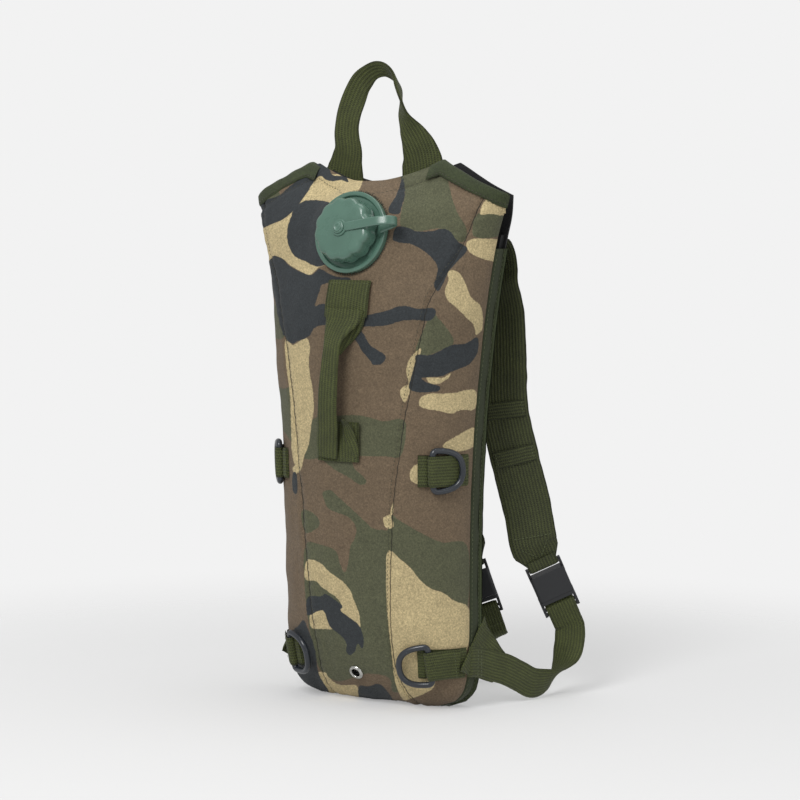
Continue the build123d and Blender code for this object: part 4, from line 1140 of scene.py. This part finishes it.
def make_filler_and_cap():
    x, y, out = filler_axes()
    neck = round_corners([(17.5, -16), (25.4, -16), (25.4, -13.5), (20.5, -13.3), (20.6, -3), (33.2, -3),
                          (33.4, 2.5),
                          (29.8, 2.5), (29.3, 0.1), (21.5, 0.0), (20.5, 0.5), (20.5, 11), (17.6, 11),
                          (17.5, -16)], 0.9)
    obj = revolve(Sheet(), neck[::-1], FILLER_CENTRE, out, x).build("filler_neck", MATERIALS["cap"])
    settle(obj, "root", "green_plastic", "filler_neck")

    def scallop(a, r, h):
        lobes = 0.5 + 0.5 * np.cos(12 * (a - math.pi / 12))
        edge = smoothstep(r, 20.0, 24.5) * (h > 1.0)
        return r - edge * 1.5 * (1 - lobes**0.6)

    cap = round_corners([(0.01, 17.3), (8, 17.3), (18, 17.1), (22.6, 16.7), (25.0, 15.6), (26.0, 13.2),
                         (26.2, 2.0),
                         (21.2, 2.0), (20.7, 2.5), (20.6, 11.6), (0.01, 11.6)], 1.3)
    obj = revolve(Sheet(), cap[::-1], FILLER_CENTRE, out, x, 192, scallop).build("screw_cap",
                                                                                 MATERIALS["cap"])
    settle(obj, "cap", "green_plastic", "screw_cap")
    stud = round_corners([(0.01, 20.9), (3.4, 20.8), (4.9, 20.5), (5.2, 19.6), (5.2, 18.9), (3.5, 18.7),
                          (3.5, 16.5)], 0.5)
    dish = [(0.01, 20.75), (2.3, 20.75), (2.9, 21.1), (3.6, 21.1)]
    button = np.vstack([dish, stud[2:]])
    obj = revolve(Sheet(), button[::-1], FILLER_CENTRE, out, x, 64).build("cap_button", MATERIALS["cap"])
    settle(obj, "cap", "green_plastic", "cap_button")
    make_tether(x, y, out)
    make_filler_edge(x, y, out)


def make_tether(x, y, out):
    turn = 9.0 * DEG
    along = x * math.cos(turn) + y * math.sin(turn)
    across = -x * math.sin(turn) + y * math.cos(turn)

    def at(r, w):
        return FILLER_CENTRE + along * r + out * w

    sheet = Sheet()
    ring = round_corners([(3.6, 17.2), (3.6, 19.0), (6.6, 19.0), (6.9, 18.0), (6.6, 17.2), (3.6, 17.2)],
                         0.4)
    revolve(sheet, ring[::-1], FILLER_CENTRE, out, x, 64)
    path = [(5.6, 18.1), (12, 18.2), (20, 18.4), (29, 18.7), (37, 18.0), (43.5, 15.6), (47.0, 11.5),
            (46.8, 7.6),
            (43.6, 5.0), (38.5, 4.0), (33.0, 3.8), (30.0, 3.7)]
    widths = [7.4] * 8 + [7.8, 9.0, 11.0, 12.0]
    ribbon(sheet, [(at(r, w), across, width) for (r, w), width in zip(path, widths)], 1.9, 1.5, 13)
    obj = sheet.build("cap_tether", MATERIALS["cap"])
    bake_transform(obj)
    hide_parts("cap_tether", "tether_tab")


def make_filler_edge(x, y, out):
    """Overlocked cut edge of the fabric round the flange."""
    sheet = Sheet()
    for k in range(120):
        angle = 2 * math.pi * k / 120
        long = 1.4 if k % 2 else 2.2
        points = [filler_point(r, angle + 0.012 * math.sin(5 * k), -2.2) for r in (33.0, 33.6 + long)]
        stitches(sheet, points, [out, out], 1.2 + long * 0.4, 0.2, 0.8, 0.1)
    sew(sheet, "filler_edge", "root", "dark_thread")


def make_drain():
    p, dx, dz, n = front_frame(0.0, DRAIN_Z)
    lip = round_corners([(3.5, -7.5), (3.5, 0.4), (3.8, 1.5), (4.8, 1.9), (5.8, 1.3), (6.35, 0.4),
                         (6.3, -0.4),
                         (4.2, -0.5), (4.2, -7.5), (3.5, -7.5)], 0.5)
    obj = revolve(Sheet(), lip, p, n, dx, 72).build("drain_eyelet", MATERIALS["metal"])
    settle(obj, "root", "eyelet", "drain_eyelet")


# ---- shoulder straps ----

STRAPS = {
    "right": {
        "points": [(86, 24.5, 344.5), (84.5, 35, 318), (82.5, 41, 280), (82.5, 44, 240), (89, 50, 200),
                   (95.5, 60, 158)],
        "socket": (104.6, 71.8, 109.0), "down": (0.175, 0.448, -0.877), "across": (-0.754, -0.513, -0.412),
        "main_side": 1, "straight_end": 60.0,
        "tail": [((118.0, 93.5, 40.0), (-0.86, -0.46, -0.25)), ((116.0, 87.0, 25.0), (-0.93, 0.0, -0.35)),
                 ((112.5, 72.0, 13.5), (-0.5, 0.1, -0.85)), ((107.5, 52.5, 13.0), (-0.1, 0, -1)),
                 ((103.0, 38.0, 20.0), (0, 0, -1)), ((99.3, 26.6, 26.0), (0, 0, -1))],
    },
    "left": {
        "points": [(-86, 24.5, 344.5), (-84, 36, 320), (-73, 50, 282), (-50, 66, 225), (-24, 79, 175),
                   (2, 88, 135)],
        "socket": (20.1, 93.5, 99.3), "down": (0.33, 0.10, -0.94), "across": (-0.81, -0.47, -0.33),
        "main_side": -1, "straight_end": 58.0,
        "tail": [((37.0, 108.0, 37.0), (-0.81, -0.47, -0.33)), ((31.0, 119.0, 33.0), (-0.6, -0.35, -0.7)),
                 ((15.0, 129.0, 31.0), (-0.15, -0.1, -1)), ((-10.0, 127.0, 29.0), (0, 0, -1)),
                 ((-50.0, 98.0, 26.0), (0, 0, -1)), ((-84.0, 52.0, 26.0), (0, 0, -1)),
                 ((-99.3, 26.6, 27.0), (0, 0, -1))],
    },
}
LADDER_LAYER = 2.35
MAIN_LAYER = 4.3


def buckle_axes(side):
    spec = STRAPS[side]
    down = unit(spec["down"])
    across = np.array(spec["across"])
    across = unit(across - down * (across @ down))
    return np.array(spec["socket"]), across, down, np.cross(across, down)


def make_shoulder_strap(side):
    spec = STRAPS[side]
    socket, across, down, front = buckle_axes(side)
    hand = 1 if side == "right" else -1
    stub = [(80, 1.6, 349), (80, 2.2, 362), (81, 6.5, 375), (83, 14.5, 377.5), (85.2, 21.5, 368),
            (86, 24.0, 355)]
    keys = [((hand * x, y, z), (-1, 0, 0), 40) for x, y, z in stub]
    for k, point in enumerate(spec["points"]):
        t = min(1.0, k / (len(spec["points"]) - 2))
        keys.append((point, np.array([-1, 0, 0]) * (1 - t) + across * t, 40))
    for s, width in ((-22, 40), (-14, 38.5), (-8, 32), (-3.0, 26.5)):
        keys.append((socket + down * s, across, width))
    sheet, thread = Sheet(), Sheet()
    points, acrosses, normals = ribbon(sheet, keys, 2.6, 3.0, 17, cup=0.5, wobble=0.012)
    eye = [(socket + down * (2.9 * math.sin(t)) - front * (2.9 * math.cos(t)), across, 26)
           for t in np.linspace(0.2, math.pi - 0.2, 9)]
    ribbon(sheet,
           [(socket - down * 7 - front * 2.0, across, 26)] + eye + [(socket - down * 7 + front * 2.0,
                                                                     across, 26)],
           1.4, 1.5, 11)
    obj = sheet.build(f"shoulder_strap_{side}", MATERIALS["strap"])
    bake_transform(obj)
    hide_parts(f"strap_stub_{side}", f"shoulder_strap_{side}")
    run = np.concatenate([[0], np.cumsum(np.linalg.norm(np.diff(points, axis=0), axis=-1))])
    for back_off in (27.0, 94.0):
        k = int(np.searchsorted(run, run[-1] - back_off))
        for face in (1, -1):
            base = points[k] + normals[k] * face * 2.0
            line = [base + acrosses[k] * t for t in np.linspace(-16, 16, 20)]
            stitches(thread, line, [normals[k] * face] * 20, 2.3, 0.9, 0.55, 0.0)
    for face in (1, -1):
        for lean in (-1, 1):
            line = [socket + down * (-21 + 14 * t) + across * (lean * (1 - t) * 12) + front * face * 1.95
                    for t in np.linspace(0, 1, 16)]
            stitches(thread, line, [front * face] * 16, 2.2, 1.0, 0.55, 0.0)
    sew(thread, f"strap_stitches_{side}", f"strap_{side}")
    return points, acrosses, normals


def make_tube_keepers(side, points, acrosses, normals):
    """Two keepers of narrow webbing sewn across the strap."""
    sheet, thread = Sheet(), Sheet()
    keys = np.array(STRAPS[side]["points"], float)
    for t in (0.60, 0.80):
        here = catmull(keys, [t])[0]
        k = int(np.argmin(np.linalg.norm(points - here, axis=-1)))
        n = normals[k] if normals[k] @ buckle_axes(side)[3] > 0 else -normals[k]
        down = unit(points[min(k + 1, len(points) - 1)] - points[k - 1])
        base = points[k] + n * 2.1
        arch = [(base + acrosses[k] * x + n * h, down, 14)
                for x, h in ((-17, -0.6), (-13, -0.1), (-6, 0.2), (0, 0.3), (6, 0.2), (13, -0.1),
                             (17, -0.6))]
        ribbon(sheet, arch, 0.9, 1.6, 9, wobble=0.01)
        for x in (-15, 15):
            line = [base + acrosses[k] * x + down * s + n * 0.7 for s in np.linspace(-6, 6, 10)]
            stitches(thread, line, [n] * 10, 2.0, 0.7, 0.55, 0.0)
    obj = sheet.build(f"tube_keepers_{side}", MATERIALS["strap"])
    settle(obj, f"strap_{side}", "webbing", f"tube_keepers_{side}")
    sew(thread, f"keeper_stitches_{side}", f"strap_{side}")


def make_ladder_webbing(side):
    socket, across, down, front = buckle_axes(side)
    main = STRAPS[side]["main_side"]
    sheet, thread = Sheet(), Sheet()
    path = [(61, -LADDER_LAYER), (50, -LADDER_LAYER), (40, -LADDER_LAYER - 0.4), (36.3, -1.8), (35.4, 0),
            (36.3, 1.8), (40, LADDER_LAYER + 0.4), (50, LADDER_LAYER), (57, LADDER_LAYER)]
    ribbon(sheet, [(socket + down * s + front * main * h, across, 25) for s, h in path], 1.5, 1.5, 11,
           wobble=0.01)
    for s in (50.0, 55.0):
        for face in (1, -1):
            line = [socket + down * s + across * t + front * face * main * (LADDER_LAYER + 0.8)
                    for t in np.linspace(-11, 11, 14)]
            stitches(thread, line, [front * face * main] * 14, 2.0, 0.8, 0.55, 0.0)
    obj = sheet.build(f"ladder_webbing_{side}", MATERIALS["narrow"])
    settle(obj, f"plug_{side}", "webbing", f"ladder_webbing_{side}")
    sew(thread, f"ladder_stitches_{side}", f"plug_{side}")


def make_narrow_strap(side):
    """Long narrow webbing from the buckle down to its anchor on the pack, and the triangle that anchors it as
    a separate piece.
    """
    spec = STRAPS[side]
    socket, across, down, front = buckle_axes(side)
    hand = 1 if side == "right" else -1
    lift = spec["main_side"] * MAIN_LAYER
    keys = [(socket + down * s + front * lift, across, 25)
            for s in (36, 44, 52, (52 + spec["straight_end"]) / 2, spec["straight_end"])]
    keys += [(point, turned, 25) for point, turned in spec["tail"]]
    anchor = [(96.6, 20.0, 29.0), (92.6, 10.0, 32.5), (89.8, 1.0, 35.8), (89.2, -8.0, 38.0),
              (88.2, -17.0, 39.0),
              (86.4, -18.5, 39.2)]
    keys += [((hand * x, y, z), (0, 0, -1), 25) for x, y, z in anchor]
    sheet, thread = Sheet(), Sheet()
    ribbon(sheet, keys, 1.7, 2.6, 13, cup=0.3, wobble=0.012)
    obj = sheet.build(f"narrow_strap_{side}", MATERIALS["narrow"])
    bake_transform(obj)
    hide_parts(f"narrow_strap_{side}")
    sheet = Sheet()
    rows = [(88.0, -14.0, 53.5, 54.0), (88.3, -7.0, 47.5, 47.0), (89.2, 2.0, 41.0, 39.0),
            (91.8, 11.0, 34.0, 31.0),
            (94.6, 18.0, 29.0, 26.0)]
    ribbon(sheet, [((hand * x, y, z), (0, 0, -1), width) for x, y, z, width in rows], 1.4, 2.4, 15,
           wobble=0.01)
    for x, y, z0, z1 in ((89.6, -9.0, 26, 49), (89.9, -4.0, 25, 48)):
        line = [(hand * x, y, z) for z in np.linspace(z0, z1, 14)]
        stitches(thread, line, [(hand, 0, 0)] * 14, 2.2, 0.9, 0.55, 0.6)
    obj = sheet.build(f"low_anchor_{side}", MATERIALS["narrow"])
    settle(obj, "root", "webbing", f"low_anchor_{side}")
    sew(thread, f"anchor_stitches_{side}", "root")


# ---- inside ----

def make_bladder():
    z = np.linspace(46, 372, 60)[:, None]
    t = np.linspace(0, 2 * math.pi, 64, endpoint=False)[None]
    half = np.minimum(60.0, half_width(z) - 24)
    deep = depth(z) - 11
    ends = np.sqrt(np.clip(1 - ((z - 209) / 163.5)**10, 0.02, 1))
    x = half * np.sign(np.cos(t)) * np.abs(np.cos(t))**0.7 * ends**0.3
    y = -12 - (deep - 12) * 0.5 - (deep - 12) * 0.5 * np.sin(t) * ends
    p = np.stack([x, y, z + 0 * x], -1)
    p = p + normals_of(p) * (-0.5 + 0.3 * ripple(p, 15.0))[..., None]
    obj = Sheet().grid(p[:, ::-1], wrap_cols=True).build("bladder", MATERIALS["film"])
    settle(obj, "root", "bladder_film", "bladder")


CAD_LOOKS = {
    "d_ring_": ("dark_plastic", "black_plastic"), "buckle_": ("buckle", "black_plastic"),
    "prong_": ("buckle", "black_plastic"), "cap_gasket": ("rubber", "rubber"),
    "bladder_outlet": ("tube", "tube_plastic"), "drinking_tube": ("tube", "tube_plastic"),
    "bite_valve": ("rubber", "rubber"), "drain_washer": ("metal", "eyelet"),
}


def dress_cad_nodes():
    """Hard parts kept from the CAD model get their material; buckles and prongs also get softened edges."""
    for name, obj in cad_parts.items():
        look = next((v for k, v in CAD_LOOKS.items() if name.startswith(k)), None)
        if look is None:
            continue
        obj.data.materials.clear()
        obj.data.materials.append(MATERIALS[look[0]])
        if name.startswith(("buckle_", "prong_")):
            bevel = obj.modifiers.new("Bevel", "BEVEL")
            bevel.width, bevel.segments, bevel.angle_limit = 0.35 * MM, 2, 40 * DEG
            bevel.harden_normals = False


# ---- stage ----

BACKGROUND = srgb(242, 242, 242)
LIGHT_AIM = 0.24                 # metres above the floor, the middle of the pack
FLOOR_RADIUS = 1.2


def area_light(name, place, size, power):
    data = bpy.data.lights.new(name, "AREA")
    data.shape, data.size, data.energy = "DISK", size, power
    obj = bpy.data.objects.new(name, data)
    bpy.context.scene.collection.objects.link(obj)
    obj.location = place
    obj.rotation_mode = "QUATERNION"
    obj.rotation_quaternion = (Vector(place) - Vector((0, 0, LIGHT_AIM))).to_track_quat("Z", "Y")


def from_camera(sideways, up, toward):
    """A place in metres given by the camera's directions from the middle of the pack."""
    right, lift, back, _ = eye_axes()
    return tuple(right * sideways + lift * up + back * toward + np.array([0, 0, LIGHT_AIM]))


def make_stage():
    mesh = bpy.data.meshes.new("floor")
    segments = 64
    angles = [k * 2 * math.pi / segments for k in range(segments)]
    ring = [(FLOOR_RADIUS * math.cos(t), FLOOR_RADIUS * math.sin(t), -0.001) for t in angles]
    mesh.from_pydata(ring, [], [list(range(segments))])
    mesh.materials.append(floor_material(BACKGROUND))
    floor = bpy.data.objects.new("floor", mesh)
    bpy.context.scene.collection.objects.link(floor)
    area_light("key", from_camera(-0.7, 1.1, 1.5), 0.8, 18)
    area_light("fill", from_camera(1.3, 0.3, 1.2), 1.3, 3)
    area_light("top", (0.1, 0.1, 1.7), 1.0, 5)
    world = bpy.data.worlds.new("world")
    bpy.context.scene.world = world
    world.use_nodes = True
    tree = world.node_tree
    tree.nodes.clear()
    ray = tree.nodes.new("ShaderNodeLightPath")
    seen, glow = tree.nodes.new("ShaderNodeBackground"), tree.nodes.new("ShaderNodeBackground")
    seen.inputs["Color"].default_value = BACKGROUND
    glow.inputs["Color"].default_value = (1, 1, 1, 1)
    glow.inputs["Strength"].default_value = 0.46
    mix, out = tree.nodes.new("ShaderNodeMixShader"), tree.nodes.new("ShaderNodeOutputWorld")
    tree.links.new(ray.outputs["Is Camera Ray"], mix.inputs[0])
    tree.links.new(glow.outputs[0], mix.inputs[1])
    tree.links.new(seen.outputs[0], mix.inputs[2])
    tree.links.new(mix.outputs[0], out.inputs[0])
    bpy.context.scene.view_settings.view_transform = "Standard"


def make_camera():
    right, up, back, place = eye_axes()
    data = bpy.data.cameras.new("camera")
    data.lens, data.sensor_width = CAMERA_LENS, CAMERA_SENSOR
    data.clip_start, data.clip_end = 0.1, 20
    obj = bpy.data.objects.new("camera", data)
    bpy.context.scene.collection.objects.link(obj)
    turn = Matrix((right, up, back)).transposed().to_4x4()
    obj.matrix_world = Matrix.Translation(Vector(place * MM)) @ turn
    bpy.context.scene.camera = obj


def main():
    p, n = make_front_shell()
    make_seam_stitches(p, n)
    make_lining()
    make_side_band()
    make_edge_binding()
    make_back()
    make_back_lining()
    make_shoulder_bindings()
    top_strip("hook_strip", "hook_strip", "root", MATERIALS["hook"], 98, 3, 20,
              lambda x, z: front_at(x, np.minimum(z, 444), -6.3)[..., 1], 1)
    top_strip("loop_strip", "loop_strip", "top_flap", MATERIALS["loop"], 103, 4, 21,
              lambda x, z: -3.1 - flap_lean(x, z), -1)
    make_haul_loop()
    make_front_handle()
    for where in RINGS:
        for side in (1, -1):
            make_ring_loop(where, side)
    make_filler_and_cap()
    make_drain()
    for side in STRAPS:
        points, acrosses, normals = make_shoulder_strap(side)
        make_tube_keepers(side, points, acrosses, normals)
        make_ladder_webbing(side)
        make_narrow_strap(side)
    make_bladder()
    dress_cad_nodes()
    make_stage()
    make_camera()


main()
